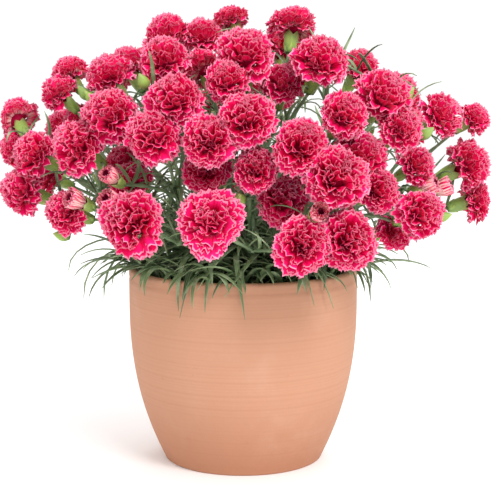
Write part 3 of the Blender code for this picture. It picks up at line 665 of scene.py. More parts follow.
class Plan:
    """Everything that grows, in places where nothing crosses another shoot, a bloom or the pot."""

    def __init__(self):
        self.heads = plan_heads()
        self.pairs = plan_pairs(self.heads)
        settle(self.heads, self.pairs)
        self.roots = shoot_roots()
        self.stems = []
        self.leaves = []
        self.buds = []
        self.bars = []
        self.centres = np.array([h.centre for h in self.heads])
        self.reaches = np.array([h.radius for h in self.heads])
        for head in self.heads:
            head.shoot = shoot_of(head.centre)
            cup_foot = head.throat - head.facing * head.cup_length
            self.bars.append((head.throat, cup_foot, head.cup_radius, head.shoot))
        for shoot in range(len(self.roots)):
            self.grow_stems(shoot)
        for spot in BUDS:
            self.grow_bud(np.array(spot) * MM)
        self.grow_leaves()

    def room(self, path, thick, shoot):
        """The least clearance along a path: to the blooms, the pot, the soil and what other shoots grow.

        A shoot of None is a leaf's outer part, which keeps clear of its own shoot's stems too.
        """
        points = along_path(path)
        ball = np.linalg.norm(points[:, None] - self.centres, axis=2) - self.reaches
        least = ball.min() - thick
        others = [b for b in self.bars if b[3] != shoot]
        if others:
            starts, ends = np.array([b[0] for b in others]), np.array([b[1] for b in others])
            thicks = np.array([b[2] for b in others])
            least = min(least, (gap_between(points, starts, ends) - thicks).min() - thick)
        return min(least, self.pot_room(points, thick))

    def pot_room(self, points, thick):
        """The least clearance from points to the pot and the soil."""
        least = 1.0
        for p in points:
            out = math.hypot(p[0], p[1])
            if p[2] < POT_HEIGHT + 6 * MM:
                outside = out - outer_radius(p[2])
                inside = RIM_RADIUS - WALL - out
                above = p[2] - POT_HEIGHT
                least = min(least, max(outside, inside, above) - thick)
            if out < RIM_RADIUS - WALL:
                least = min(least, p[2] - SOIL_CROWN - thick)
        return least

    def add_path(self, path, thick, shoot):
        self.bars += [(a, b, thick, shoot) for a, b in zip(path[:-1], path[1:])]

    def crown(self, shoot):
        return np.array((*self.roots[shoot], SOIL_CROWN + TRUNK_RISE))

    def groups(self, shoot):
        """A shoot's blooms in bunches of near neighbours, which share a stem."""
        left = [k for k, h in enumerate(self.heads) if h.shoot == shoot]
        while left:
            first = left.pop(0)
            near = sorted(left, key=lambda k: np.linalg.norm(self.centres[k] - self.centres[first]))
            bunch = [first]
            for k in near[: HEADS_PER_STEM - 1]:
                if np.linalg.norm(self.centres[k] - self.centres[first]) < STEM_SPREAD:
                    bunch.append(k)
                    left.remove(k)
            yield bunch

    def grow_stems(self, shoot):
        """One stem to each bunch of blooms, then a stalk to each bloom, by the clearest of several routes."""
        crown = self.crown(shoot)
        start = crown - np.array((0, 0, 0.5 * TRUNK_RISE))
        for bunch in self.groups(shoot):
            feet = [self.heads[k].throat - self.heads[k].facing * self.heads[k].cup_length for k in bunch]
            middle = np.mean(feet, axis=0)
            routes = []
            for share in (0.62, 0.5, 0.74, 0.4):
                for side in (0, 10, -10, 20, -20):
                    across = unit(np.cross(middle - crown, (0, 0, 1.0)) + np.array((1e-6, 0, 0)))
                    fork = crown + share * (middle - crown) + across * side * MM
                    elbow = (start + fork) / 2 + np.array((0, 0, 5 * MM))
                    path = [start, elbow, fork]
                    worth = min(self.room(path, STEM_RADIUS, shoot), 2 * MM)
                    worth += sum(min(0.0, self.room([fork, foot], STALK_RADIUS, shoot)) for foot in feet)
                    routes.append((worth - 0.05 * abs(side) * MM, -len(routes), path))
            path = max(routes)[2]
            self.stems.append({"path": path, "radius": STEM_RADIUS, "shoot": shoot})
            self.add_path(path, STEM_RADIUS, shoot)
            for k, foot in zip(bunch, feet):
                self.grow_stalk(path[-1], k, foot, shoot)

    def grow_stalk(self, fork, k, foot, shoot):
        """The stalk from a fork to a bloom's cup, bent clear of the other blooms."""
        fork = fork - unit(fork - self.crown(shoot)) * (1 + k % 4) * 1.1 * MM
        across = unit(np.cross(foot - fork, (0, 0, 1.0)) + np.array((1e-6, 0, 0)))
        over = unit(np.cross(across, foot - fork))
        routes = []
        for bend in (0, 5, 10, 16, 24):
            for turn in range(8 if bend else 1):
                sway = across * math.cos(turn * math.pi / 4) + over * math.sin(turn * math.pi / 4)
                knee = (fork + foot) / 2 + sway * bend * MM
                worth = min(self.room([fork, knee, foot], STALK_RADIUS, shoot), 2 * MM)
                routes.append((worth - 0.05 * bend * MM, -len(routes), [fork, knee, foot]))
        path = max(routes)[2]
        self.stems.append({"path": path, "radius": STALK_RADIUS, "shoot": shoot, "head": k})
        self.add_path(path, STALK_RADIUS, shoot)

    def grow_bud(self, spot):
        """A green bud on a short side stalk from the nearest stem of its shoot, where there is room."""
        shoot = shoot_of(spot)
        own = [s for s in self.stems if s["shoot"] == shoot and "head" not in s]
        stem = min(own, key=lambda s: np.linalg.norm(s["path"][-1] - spot))
        fork = stem["path"][-1]
        facing = unit(spot - MIDDLE)
        for pull in (0, 4, 8, 12, 16, 20, 26):
            centre = spot - facing * pull * MM
            path = [fork, centre - facing * 6 * MM]
            if self.room([centre, centre], 6.5 * MM, shoot) > 0 and self.room(path, STALK_RADIUS, shoot) > 0:
                bud = {"centre": centre, "facing": facing, "shoot": shoot}
                self.buds.append(bud)
                self.stems.append({"path": path, "radius": STALK_RADIUS, "shoot": shoot, "bud": bud})
                self.add_path([fork, centre], 5.5 * MM, shoot)
                return

    def grow_leaves(self):
        """Arching leaves low on every shoot, then pairs up the stems, each redrawn until it has room."""
        draw = random.Random(LEAF_SEED)
        for shoot in range(1, len(self.roots)):
            home = math.atan2(self.roots[shoot][1], self.roots[shoot][0])
            for k in range(RIM_LEAVES):
                side = ((k + 0.5) / RIM_LEAVES - 0.5) * 1.25 * math.tau / RING_SHOOTS
                self.grow_leaf(shoot, self.crown(shoot), home + side, draw, low=True)
        for stem in list(self.stems):
            if "head" in stem or "bud" in stem:
                continue
            path = along_path(stem["path"], 2 * MM)
            joint = int(PAIR_SPACING / (2 * MM))
            turn = draw.uniform(0, math.tau)
            for spot in path[joint::joint]:
                turn += math.pi / 2
                for side in (0, math.pi):
                    self.grow_leaf(stem["shoot"], spot, turn + side, draw, low=False)

    def grow_leaf(self, shoot, spot, heading, draw, low):
        width = draw.uniform(4.6, 6.0) * MM if low else draw.uniform(3.6, 4.8) * MM
        for _ in range(LEAF_TRIES):
            if low:
                length = draw.uniform(62, 104) * MM
                start = spot - np.array((0, 0, draw.uniform(2, 10) * MM))
                swing, curl = draw.uniform(-0.2, 0.2), draw.uniform(-0.5, 0.5)
                pitch, droop = draw.uniform(0.35, 1.15), draw.uniform(-1.5, -0.5)
            else:
                length = draw.uniform(34, 62) * MM
                start = spot
                swing, curl = draw.uniform(-0.5, 0.5), draw.uniform(-0.9, 0.9)
                pitch, droop = draw.uniform(0.5, 1.2), draw.uniform(-1.2, 0.6)
            path = leaf_path(start, heading + swing, curl, pitch, droop, length)
            bars = [path[k] for k in LEAF_RINGS]
            free = along_path(bars, 3 * MM)[int(LEAF_FREE / (3 * MM)) :]
            if self.room(free, width / 2, None) > 0.4 * MM and self.room(bars[:2], 0, shoot) > 0.4 * MM:
                self.leaves.append((path, width, shoot))
                self.add_path(bars, width / 2, shoot)
                return


plan = Plan()
print(len(plan.heads), "blooms,", len(plan.stems), "stems and", len(plan.leaves), "leaves planned")


# %% [markdown]
# The plan's leaves are the large ones. A real dianthus carries many more: a dense grey-green tuft at the
# foot, some of whose leaves hang over the pot's rim, and small narrow leaves at every joint of the stems.
# They are added here, kept out of the blooms and the clay but free to cross each other. Each leaf is drawn
# again until it has room, and left out if it never has. The leaves that hang over the rim follow a Bezier
# curve from the tuft, over the rim, to a tip that is listed for each.

# %% Plan the finer leaves
TUFT_LEAVES = 34
TUFT_SEED = 11
RIM_TUFT = 330
RIM_TUFT_SEED = 31
FINE_SEED = 23
FINE_SPACING = 17 * MM
HANGING_SEED = 4
HANGING_LIFT = (196, 214)
HANGING_TOP = (197, 205)
HANGING_DROP = 26
BOX_SLACK = 3 * MM
# The share of a bloom's radius that leaves keep out of
BLOOM_SHARE = 0.92
# Each kind of leaf by the limits of its curl, of its slope at the foot and at the tip, in radians, and of its
# length and width, in millimetres
TUFT_LEAF = ((-0.8, 0.8), (0.3, 1.45), (-1.5, 0.6), (45, 105), (3.4, 5.8))
RIM_LEAF = ((-1.1, 1.1), (0.5, 1.35), (-1.3, -0.1), (34, 86), (3.8, 6.6))
FINE_LEAF = ((-1.2, 1.2), (0.4, 1.3), (-1.6, 1.2), (20, 48), (2.2, 3.8))
# Leaves that hang over the rim: direction in degrees, then the tip's distance and height in millimetres, and
# how far round the rim the tip swings aside, in degrees
HANGING = [
    (-123, 105, 146, 3), (-112, 106, 141, -7), (-105, 105, 147, -2), (-94, 106, 142, 5), (-84, 105, 160, -14),
    (-63, 105, 150, 7), (-56, 108, 146, 10), (-72, 104, 163, 12), (-99, 104, 164, -12), (-136, 106, 158, -9),
    (-12, 112, 140, 6), (-3, 146, 172, 4), (-22, 122, 160, -6), (-34, 108, 158, 8), (-46, 106, 161, -5),
    (178, 153, 166, 4), (188, 140, 142, -5), (196, 126, 148, 4), (204, 118, 158, -6), (216, 108, 155, 5),
    (20, 118, 150, -6), (48, 112, 158, 6), (74, 108, 150, -5), (98, 110, 144, 6), (126, 112, 156, -4),
    (152, 120, 152, 5),
]


def in_box(path):
    """True where a path stays in the CAD model's box, with a little slack."""
    low, high = (np.array(c) for c in cad_box)
    return (path > low - BOX_SLACK).all() and (path < high + BOX_SLACK).all()


def in_clear(path, thick):
    """True where a leaf keeps out of the blooms, the clay and the soil."""
    points = along_path(path)
    ball = np.linalg.norm(points[:, None] - plan.centres, axis=2) - BLOOM_SHARE * plan.reaches
    return ball.min() > thick and in_box(points) and plan.pot_room(points, thick) > 0


def clear_leaf(draw, start, heading, limits, tries, joint, sway=0.0):
    """The path and width of a leaf that has room past its row numbered joint, or None after the last try."""
    for _ in range(tries):
        way = heading + draw.uniform(-sway, sway) if sway else heading
        curl, pitch, droop, length, width = (draw.uniform(*ends) for ends in limits)
        path = leaf_path(start, way, curl, pitch, droop, length * MM)
        if in_clear(path[joint:], width * MM / 2):
            return path, width * MM
    return None


def tuft_leaves():
    """More arching leaves round the foot of every shoot."""
    draw = random.Random(TUFT_SEED)
    found = []
    for shoot in range(len(plan.roots)):
        for k in range(TUFT_LEAVES):
            heading = math.tau * k / TUFT_LEAVES + draw.uniform(-0.3, 0.3)
            start = plan.crown(shoot) - np.array((0, 0, draw.uniform(-14, 12) * MM))
            leaf = clear_leaf(draw, start, heading, TUFT_LEAF, tries=6, joint=2)
            if leaf:
                found.append((*leaf, shoot))
    return found


def outer_shoot(turn):
    """The ring shoot on the side that a direction points to."""
    return shoot_of((200 * MM * math.cos(turn), 200 * MM * math.sin(turn)))


def rim_leaves():
    """The low, crossing leaves of the young side shoots that fill the pot up to its rim."""
    draw = random.Random(RIM_TUFT_SEED)
    found = []
    for k in range(RIM_TUFT):
        turn = math.pi * (3 - math.sqrt(5)) * k
        out = draw.uniform(34, 88) * MM
        start = np.array((out * math.cos(turn), out * math.sin(turn), SOIL_EDGE + 2 * MM))
        leaf = clear_leaf(draw, start, turn, RIM_LEAF, tries=14, joint=3, sway=1.5)
        if leaf:
            found.append((*leaf, outer_shoot(turn)))
    return found


def fine_leaves():
    """Narrow leaves in pairs at every joint of the stems and stalks, with half as many rows as the others."""
    draw = random.Random(FINE_SEED)
    found = []
    step = int(FINE_SPACING / MM)
    for stem in plan.stems:
        turn = draw.uniform(0, math.tau)
        for spot in along_path(stem["path"], 1 * MM)[step // 2 :: step]:
            turn += math.pi / 2 + draw.uniform(-0.3, 0.3)
            for side in (0, math.pi):
                leaf = clear_leaf(draw, spot, turn + side, FINE_LEAF, tries=4, joint=3)
                if leaf:
                    found.append((leaf[0][::2], leaf[1], stem["shoot"]))
    return found


def around(degrees, radius, height):
    """A point by its direction, its distance from the pot's axis and its height, both in millimetres."""
    turn = math.radians(degrees)
    return np.array((radius * math.cos(turn), radius * math.sin(turn), height)) * MM


def hanging_leaves():
    """Long leaves that arch out of the tuft and hang down outside the rim."""
    draw = random.Random(HANGING_SEED)
    found = []
    for degrees, reach, height, swing in HANGING:
        shoot = outer_shoot(math.radians(degrees))
        knots = [
            plan.crown(shoot) - np.array((0, 0, 6 * MM)),
            around(degrees - swing, 62, draw.uniform(*HANGING_LIFT)),
            around(degrees, reach - 1, max(height + HANGING_DROP, draw.uniform(*HANGING_TOP))),
            around(degrees + swing, reach, height),
        ]
        path = []
        for k in range(LEAF_STEPS + 1):
            t = k / LEAF_STEPS
            blend = ((1 - t) ** 3, 3 * t * (1 - t) ** 2, 3 * t * t * (1 - t), t**3)
            path.append(sum(b * knot for b, knot in zip(blend, knots)))
        found.append((path, draw.uniform(4.8, 6.6) * MM, shoot))
    return found


extra_leaves = [tuft_leaves(), rim_leaves(), fine_leaves(), hanging_leaves()]
all_leaves = sum(extra_leaves, plan.leaves)
print(len(all_leaves), "leaves in all, of which", [len(group) for group in extra_leaves], "are extra")


# %% [markdown]
# A dianthus leaf is a narrow strap, folded a little along its midrib, that thins to a point. A flat grid is
# enough, two faces across and one row for each step of the midrib: each row of vertices is moved to its place
# on the midrib and spread to the leaf's width there, and its edges are lifted for the fold. A Solidify
# modifier then gives the strap its thickness. The grid's own UV map stays, so the material can find the
# midrib and the edges.

# %% Grow the leaves
LEAF_FOLD = 0.42
LEAF_THICKNESS = 0.55 * MM
LEAF_SHADE_SEED = 60
LEAF_DARK = (0.023, 0.056, 0.014, 1)
LEAF_LIGHT = (0.20, 0.30, 0.125, 1)
LEAF_EDGE = (0.34, 0.43, 0.25, 1)


def add_leaf(bm, tint, path, width, shade):
    """One strap leaf along a path. shade is kept on its vertices for the material."""
    path = np.array(path)
    rows = len(path) - 1
    made = bmesh.ops.create_grid(bm, x_segments=2, y_segments=rows, size=1, calc_uvs=True)
    ways = np.gradient(path, axis=0)
    for vertex in made["verts"]:
        across = vertex.co.x
        row = round((vertex.co.y + 1) / 2 * rows)
        share = row / rows
        way = unit(ways[row])
        side = np.cross(way, (0, 0, 1.0))
        side = unit(side) if np.linalg.norm(side) > 0.05 else np.array((1.0, 0, 0))
        up = np.cross(side, way)
        half = 0.5 * width * ((0.6 + 0.4 * min(1, share * 3)) * (1 - share**3.4) ** 0.8 + 0.02)
        vertex.co = path[row] + across * half * side + abs(across) * half * LEAF_FOLD * up
        vertex[tint] = (shade, shade, shade, 1)


def glaucous():
    """A waxy grey-green: mottled, with a pale midrib and paler edges."""
    material, tree, shader = start_material("leaf_green", 0.5)
    across, _ = uv_parts(tree)
    away = calc(tree, "ABSOLUTE", calc(tree, "SUBTRACT", across, 0.5))
    shade = add_node(tree, "ShaderNodeAttribute", attribute_name="tint").outputs["Fac"]
    colour = mixed(tree, shade, LEAF_DARK, LEAF_LIGHT)
    colour = mixed(tree, ramp(tree, mottled(tree, 45.0, 2.6), 0.45, 1.0), colour, LEAF_EDGE)
    colour = mixed(tree, ramp(tree, away, 0.10, 0.0, 0.45), colour, LEAF_EDGE)
    colour = mixed(tree, ramp(tree, away, 0.38, 0.5, 0.35), colour, LEAF_EDGE)
    tree.links.new(colour, shader.inputs["Base Color"])
    add_bump(tree, shader, away, 0.25, 0.0005)
    return material


def thicken(piece, thickness):
    """Gives the sheets of a piece their thickness, to both sides."""
    skin = piece.modifiers.new("Thickness", "SOLIDIFY")
    skin.thickness = thickness
    skin.offset = 0


leaf_green = glaucous()
for shoot in range(len(plan.roots)):
    leaf_bm = bmesh.new()
    leaf_bm.loops.layers.uv.new("UVMap")
    tint = leaf_bm.verts.layers.float_color.new("tint")
    draw = random.Random(LEAF_SHADE_SEED + shoot)
    for path, width, home in all_leaves:
        if home == shoot:
            add_leaf(leaf_bm, tint, path, width, draw.random())
    leaves = make_piece(f"leaves_{shoot + 1}", leaf_bm, leaf_green, "green", f"shoot_{shoot + 1}")
    thicken(leaves, LEAF_THICKNESS)
    print(leaves.name, len(leaves.data.polygons), "faces")


# %% [markdown]
# The stems are round, and swell at each joint where a pair of leaves clasps them. A curve with a round bevel
# is the natural tool: each stem is a spline through points on a smooth route, and its radius varies along it.
# The curves are then turned into meshes, so that the piece has real faces.

# %% Grow the stems
JOINT_SWELL = 1.35
JOINT_EVERY = 4
STEM_TAPER = 0.9
TRUNK_TAPER = 0.7
BUD_STALK_SHARE = 0.8
STRAIGHT_SPACING = 6 * MM
BENT_STEPS = 14
STEM_DARK = (0.08, 0.15, 0.06, 1)
STEM_LIGHT = (0.27, 0.36, 0.20, 1)


def smooth_path(path):
    """A rounded route through a path's points."""
    path = np.array(path)
    if len(path) < 3:
        return along_path(path, STRAIGHT_SPACING)
    control = 2 * path[1] - 0.5 * (path[0] + path[2])
    shares = [k / BENT_STEPS for k in range(BENT_STEPS + 1)]
    return np.array([(1 - t) ** 2 * path[0] + 2 * t * (1 - t) * control + t * t * path[2] for t in shares])


def add_stem(curve, path, radius, taper=STEM_TAPER):
    """A spline along a path, thicker at every fourth point, where a joint is."""
    spots = smooth_path(path)
    spline = curve.splines.new("POLY")
    spline.points.add(len(spots) - 1)
    for k, (point, spot) in enumerate(zip(spline.points, spots)):
        point.co = (*spot, 1)
        swell = JOINT_SWELL if k % JOINT_EVERY == 2 else 1.0
        point.radius = radius / MM * swell * (1 - (1 - taper) * k / (len(spots) - 1))


def stem_green():
    material, tree, shader = start_material("stem_green", 0.48)
    colour = mixed(tree, mottled(tree, 55.0, 2.4), STEM_DARK, STEM_LIGHT)
    tree.links.new(colour, shader.inputs["Base Color"])
    return material


# Young stems of the front shoot that show between the leaves, in millimetres
YOUNG_SHOOT = 1
YOUNG_STEMS = [
    [(9, -60, 159), (10, -66, 190), (8, -72, 226)],
    [(8, -72, 224), (2, -84, 240), (-4, -104, 250)],
    [(8, -72, 224), (18, -80, 240), (24, -92, 248)],
]
stem_finish = stem_green()
for shoot in range(len(plan.roots)):
    curve = bpy.data.curves.new("stems", "CURVE")
    curve.dimensions = "3D"
    curve.bevel_depth = MM
    curve.bevel_resolution = 2
    curve.use_fill_caps = True
    trunk_top = plan.crown(shoot)
    trunk_foot = trunk_top - np.array((0, 0, TRUNK_RISE + HOLE_DEPTH - 2 * MM))
    add_stem(curve, [trunk_foot, trunk_top], TRUNK_RADIUS, TRUNK_TAPER)
    for stem in plan.stems:
        if stem["shoot"] == shoot:
            add_stem(curve, stem["path"], stem["radius"] * (BUD_STALK_SHARE if "bud" in stem else 1.0))
    if shoot == YOUNG_SHOOT:
        for path in YOUNG_STEMS:
            add_stem(curve, np.array(path) * MM, STEM_RADIUS)
    guide = bpy.data.objects.new("guide", curve)
    bpy.context.scene.collection.objects.link(guide)
    bpy.context.view_layer.update()
    stem_mesh = bpy.data.meshes.new_from_object(guide.evaluated_get(bpy.context.evaluated_depsgraph_get()))
    bpy.data.objects.remove(guide)
    stem_bm = bmesh.new()
    stem_bm.from_mesh(stem_mesh)
    bmesh.ops.remove_doubles(stem_bm, verts=stem_bm.verts, dist=0.00001)
    bmesh.ops.recalc_face_normals(stem_bm, faces=stem_bm.faces)
    stems = make_piece(f"stems_{shoot + 1}", stem_bm, stem_finish, "green", f"shoot_{shoot + 1}")
    print(stems.name, len(stems.data.polygons), "faces")


# %% [markdown]
# Under every bloom sits a green cup, the calyx: a tube that widens to a mouth with five pointed teeth, with
# short scales clasping its foot. A grid wrapped round the bloom's axis makes the tube, and its top row is
# raised to a point five times round for the teeth. A green bud is the same cup, closed at the tip.

# %% Make the cups and the green buds
CUP_AROUND = 20
CUP_ALONG = 7
CUP_TEETH = 5
CUP_THICKNESS = 0.4 * MM
SCALES = 4
CUP_FOOT = (0.09, 0.19, 0.05, 1)
CUP_LIME = (0.30, 0.45, 0.055, 1)
CUP_TIP = (0.56, 0.56, 0.22, 1)
CUP_DEEP = (0.17, 0.30, 0.07, 1)
CUP_RIB = (0.42, 0.55, 0.20, 1)


def upright_axes(facing):
    """Two directions square to a bloom's axis."""
    first = unit(np.cross(facing, (0.31, 0.2, 0.93)))
    return first, np.cross(facing, first)


def add_cup(bm, foot, facing, length, foot_radius, mouth_radius, closed, turn):
    """A calyx from its foot along its axis. A closed one narrows to a tip, as a bud does."""
    first, second = upright_axes(facing)
    made = bmesh.ops.create_grid(bm, x_segments=CUP_AROUND, y_segments=CUP_ALONG, size=1, calc_uvs=True)
    for vertex in made["verts"]:
        around_share = (vertex.co.x + 1) / 2
        along = (vertex.co.y + 1) / 2
        angle = math.tau * around_share + turn
        height = length * along
        if closed:
            radius = mouth_radius * math.sin(math.pi * min(0.985, 0.12 + 0.88 * along) ** 0.82) + 0.15 * MM
        else:
            radius = foot_radius + (mouth_radius - foot_radius) * along**0.7
            radius += 0.10 * mouth_radius * math.sin(math.pi * along)
            if along > 0.99:
                tooth = abs((around_share * CUP_TEETH) % 1 - 0.5) * 2
                height += (tooth - 0.35) * 0.26 * length
                radius += tooth * 0.10 * mouth_radius
        radius *= 1 + 0.03 * math.cos(CUP_TEETH * angle)
        out = first * math.cos(angle) + second * math.sin(angle)
        vertex.co = foot + facing * height + out * radius


def add_scales(bm, foot, facing, length, radius, turn):
    """Four pointed scales that clasp the foot of a cup."""
    first, second = upright_axes(facing)
    for k in range(SCALES):
        angle = turn + math.tau * k / SCALES
        out = first * math.cos(angle) + second * math.sin(angle)
        side = np.cross(facing, out)
        made = bmesh.ops.create_grid(bm, x_segments=2, y_segments=4, size=1, calc_uvs=True)
        for vertex in made["verts"]:
            along = (vertex.co.y + 1) / 2
            half = 0.62 * radius * (1 - along**1.8) + 0.02 * radius
            rise = facing * (along * 0.52 - 0.04) * length
            clasp = out * (radius * (0.62 + 0.55 * along**0.7) + 0.5 * MM - 0.25 * radius * vertex.co.x**2)
            vertex.co = foot + rise + clasp + side * vertex.co.x * half


def cup_green():
    """Lime in the middle, deeper green at the foot, cream at the teeth, with fine ribs along."""
    material, tree, shader = start_material("cup_green", 0.45)
    across, along = uv_parts(tree)
    colour = mixed(tree, ramp(tree, along, 0.0, 0.5), CUP_FOOT, CUP_LIME)
    colour = mixed(tree, ramp(tree, along, 0.78, 1.0), colour, CUP_TIP)
    colour = mixed(tree, mottled(tree, 90.0, 2.2), colour, CUP_DEEP)
    ribs = calc(tree, "SINE", calc(tree, "MULTIPLY", across, 188.0))
    colour = mixed(tree, ramp(tree, ribs, 0.2, 1.0, 0.45), colour, CUP_RIB)
    tree.links.new(colour, shader.inputs["Base Color"])
    return material


cup_finish = cup_green()
for shoot in range(len(plan.roots)):
    cup_bm = bmesh.new()
    cup_bm.loops.layers.uv.new("UVMap")
    draw = random.Random(shoot)
    for stem in plan.stems:
        if stem["shoot"] != shoot:
            continue
        if "head" in stem:
            head = plan.heads[stem["head"]]
            foot = head.throat - head.facing * head.cup_length
            spin = draw.uniform(0, 1.2)
            foot_radius = max(STALK_RADIUS * 1.3, 0.5 * head.cup_radius)
            length = head.cup_length * (0.82 if head.opening else 1.0)
            add_cup(cup_bm, foot, head.facing, length, foot_radius, 1.06 * head.cup_radius, False, spin)
            add_scales(cup_bm, foot, head.facing, length, head.cup_radius * 0.85, spin)
        elif "bud" in stem:
            bud = stem["bud"]
            foot = bud["centre"] - bud["facing"] * BUD_LENGTH / 2
            add_cup(cup_bm, foot, bud["facing"], BUD_LENGTH, 0, BUD_RADIUS, True, draw.uniform(0, 1.2))
            add_scales(cup_bm, foot, bud["facing"], 0.8 * BUD_LENGTH, BUD_RADIUS * 0.72, draw.uniform(0, 1.5))
    bmesh.ops.remove_doubles(cup_bm, verts=cup_bm.verts, dist=0.00002)
    cups = make_piece(f"cups_{shoot + 1}", cup_bm, cup_finish, "green", f"shoot_{shoot + 1}")
    thicken(cups, CUP_THICKNESS)
    print(cups.name, len(cups.data.polygons), "faces")


# %% [markdown]
# Now the petals, which make the plant. A double dianthus bloom is a ball of forty or more fan-shaped petals
# that all rise from the cup's mouth. Each fan ends on the ball's surface in a toothed edge, and the edge is
# crimped like a ribbon pushed from both ends. Seen from outside, the bloom is a maze of these pale crimped
# edges. Some seventy narrow petals give that maze here.
#
# A petal is a small grid: its foot is at the mouth of the cup, its far row lies on the ball, and a Bezier
# curve joins the two. Waves across the grid, growing from nothing at the foot, give the crimp, and the last
# row's vertices step in and out for the teeth. Rings of petals go from the back of the ball to its crown,
# with more petals where the ring is wider. A petal is so thin that one sheet of faces is enough.

# %% Shape a petal
PETAL_ACROSS = 16
PETAL_ALONG = 3
BLOOM_TOOTH = 0.32
OPENING_TOOTH = 0.2


def petal_fan(head, out, side, radius, polar, width, crimp, waves, phases):
    """A function that gives a petal's points for across, from -1 to 1, and along, from 0 to 1."""
    toward = math.sin(polar) * out + math.cos(polar) * head.facing
    foot = head.throat + (0.05 + 0.17 * math.sin(polar) ** 3) * radius * out
    bend = head.throat + (0.50 + 0.18 * math.cos(polar)) * radius * head.facing
    bend = bend + 0.42 * math.sin(polar) * radius * out
    lean = unit(np.cross(side, toward))

    def point(across, along):
        across, along = across[:, None], along[:, None]
        edge = toward * radius + side * across * width
        edge = edge / np.linalg.norm(edge, axis=1, keepdims=True) * radius * (1 - 0.08 * across**2)
        start = foot + side * across * 0.22 * width
        middle = bend + side * across * 0.62 * width
        spot = (1 - along) ** 2 * start + 2 * along * (1 - along) * middle + along**2 * (head.centre + edge)
        wave = np.sin(waves * math.pi * across + phases[0])
        wave += 0.5 * np.sin(2.3 * waves * math.pi * across + phases[1])
        spot = spot + lean * crimp * radius * along**2.2 * wave
        ripple = np.sin(1.7 * waves * math.pi * across + phases[2])
        return spot + edge / radius * 0.045 * radius * along**3 * ripple

    return point


def add_petal(bm, tint, shade, point, tooth, squash=None):
    """One petal as a crimped grid with a toothed edge. shade is kept on its vertices for the material."""
    made = bmesh.ops.create_grid(bm, x_segments=PETAL_ACROSS, y_segments=PETAL_ALONG, size=1, calc_uvs=True)
    verts = made["verts"]
    across = np.array([v.co.x for v in verts])
    along = 1 - (1 - np.array([(v.co.y + 1) / 2 for v in verts]).clip(0, 1)) ** 1.6
    column = np.round((across + 1) / 2 * PETAL_ACROSS)
    spots = point(across, along)
    step = (spots - point(across, along - 0.07)) * tooth
    at_edge = (along > 0.99) * np.where(column % 2, 1, -1)
    spots = spots + step * at_edge[:, None]
    if squash:
        spots = squash(spots)
    for vertex, spot in zip(verts, spots):
        vertex.co = spot
        vertex[tint] = shade


print("a petal has", PETAL_ACROSS * PETAL_ALONG, "faces")


# %% [markdown]
# The petals are raspberry red, deeper along their veins, with a thin pale pink edge. Painted shade deepens
# them towards the foot, deep in the bloom, and a painted highlight brightens their outer part. The outermost
# ones turn cream towards the cup, more so on their outside, and those of a bloom that is only opening are
# cream all over, with red streaks. The petal's UV map says how far a point is from the edge. The vertex colour
# called tint holds the rest, one value for a whole petal: its brightness in red, which sets how strong its
# painted highlight is and where 0 is the maroon of the imported inner petals, its paleness in green, where
# more than 1.05 is pale all over, and in blue a number that sets its veins apart from its neighbours'.

# %% Colour the petals
# The deepest red: painted shade towards each petal's foot, and the colour of its veins
PETAL_SHADE_AND_VEINS = (0.44, 0.0008, 0.045, 1)
PETAL_RED = (0.86, 0.004, 0.112, 1)
PETAL_BRIGHT = (0.95, 0.020, 0.205, 1)
PETAL_EDGE = (0.98, 0.46, 0.60, 1)
PETAL_CREAM = (0.92, 0.58, 0.55, 1)
PETAL_MAROON = (0.16, 0.001, 0.022, 1)


def petal_red():
    material, tree, shader = start_material("petal_red", 0.55)
    shader.inputs["Specular IOR Level"].default_value = 0.06
    across, along = uv_parts(tree)
    tint = add_node(tree, "ShaderNodeAttribute", attribute_name="tint").outputs["Color"]
    parts = add_node(tree, "ShaderNodeSeparateColor", {0: tint}).outputs
    bright, pale, seed = parts[0], parts[1], parts[2]
    # Painted shade: deeper red towards each petal's foot
    colour = mixed(tree, ramp(tree, along, 0.1, 0.6), PETAL_SHADE_AND_VEINS, PETAL_RED)
    # Painted highlight: brighter towards each petal's outer part, as strong as its brightness says
    lit = calc(tree, "MULTIPLY", ramp(tree, along, 0.4, 0.9), bright)
    colour = mixed(tree, lit, colour, PETAL_BRIGHT)
    fan = add_node(tree, "ShaderNodeCombineXYZ", {0: across, 1: calc(tree, "MULTIPLY", along, 0.05), 2: seed})
    veins = noise(tree, fan.outputs[0], 17.0, 3.0)
    colour = mixed(tree, ramp(tree, veins, 0.48, 0.68, 0.4), colour, PETAL_SHADE_AND_VEINS)
    inside = add_node(tree, "ShaderNodeNewGeometry").outputs["Backfacing"]
    ends = {0: inside, 2: ramp(tree, along, 0.92, 0.45), 3: ramp(tree, along, 0.62, 0.22)}
    near_cup = calc(tree, "MULTIPLY", add_node(tree, "ShaderNodeMix", ends).outputs[0], pale)
    cream = calc(tree, "MAXIMUM", near_cup, calc(tree, "SUBTRACT", pale, 1.05), clamp=True)
    streaks = calc(tree, "MULTIPLY", ramp(tree, veins, 0.60, 0.42), cream)
    colour = mixed(tree, streaks, colour, PETAL_CREAM)
    colour = mixed(tree, ramp(tree, bright, 0.0, 0.05), PETAL_MAROON, colour)
    edge = calc(tree, "MULTIPLY", ramp(tree, along, 0.88, 0.94, 0.64), ramp(tree, bright, 0.0, 0.1))
    colour = mixed(tree, edge, colour, PETAL_EDGE)
    tree.links.new(colour, shader.inputs["Base Color"])
    add_bump(tree, shader, veins, 0.35, 0.0008)
    return material


petal_finish = petal_red()
print("petal finish ready")


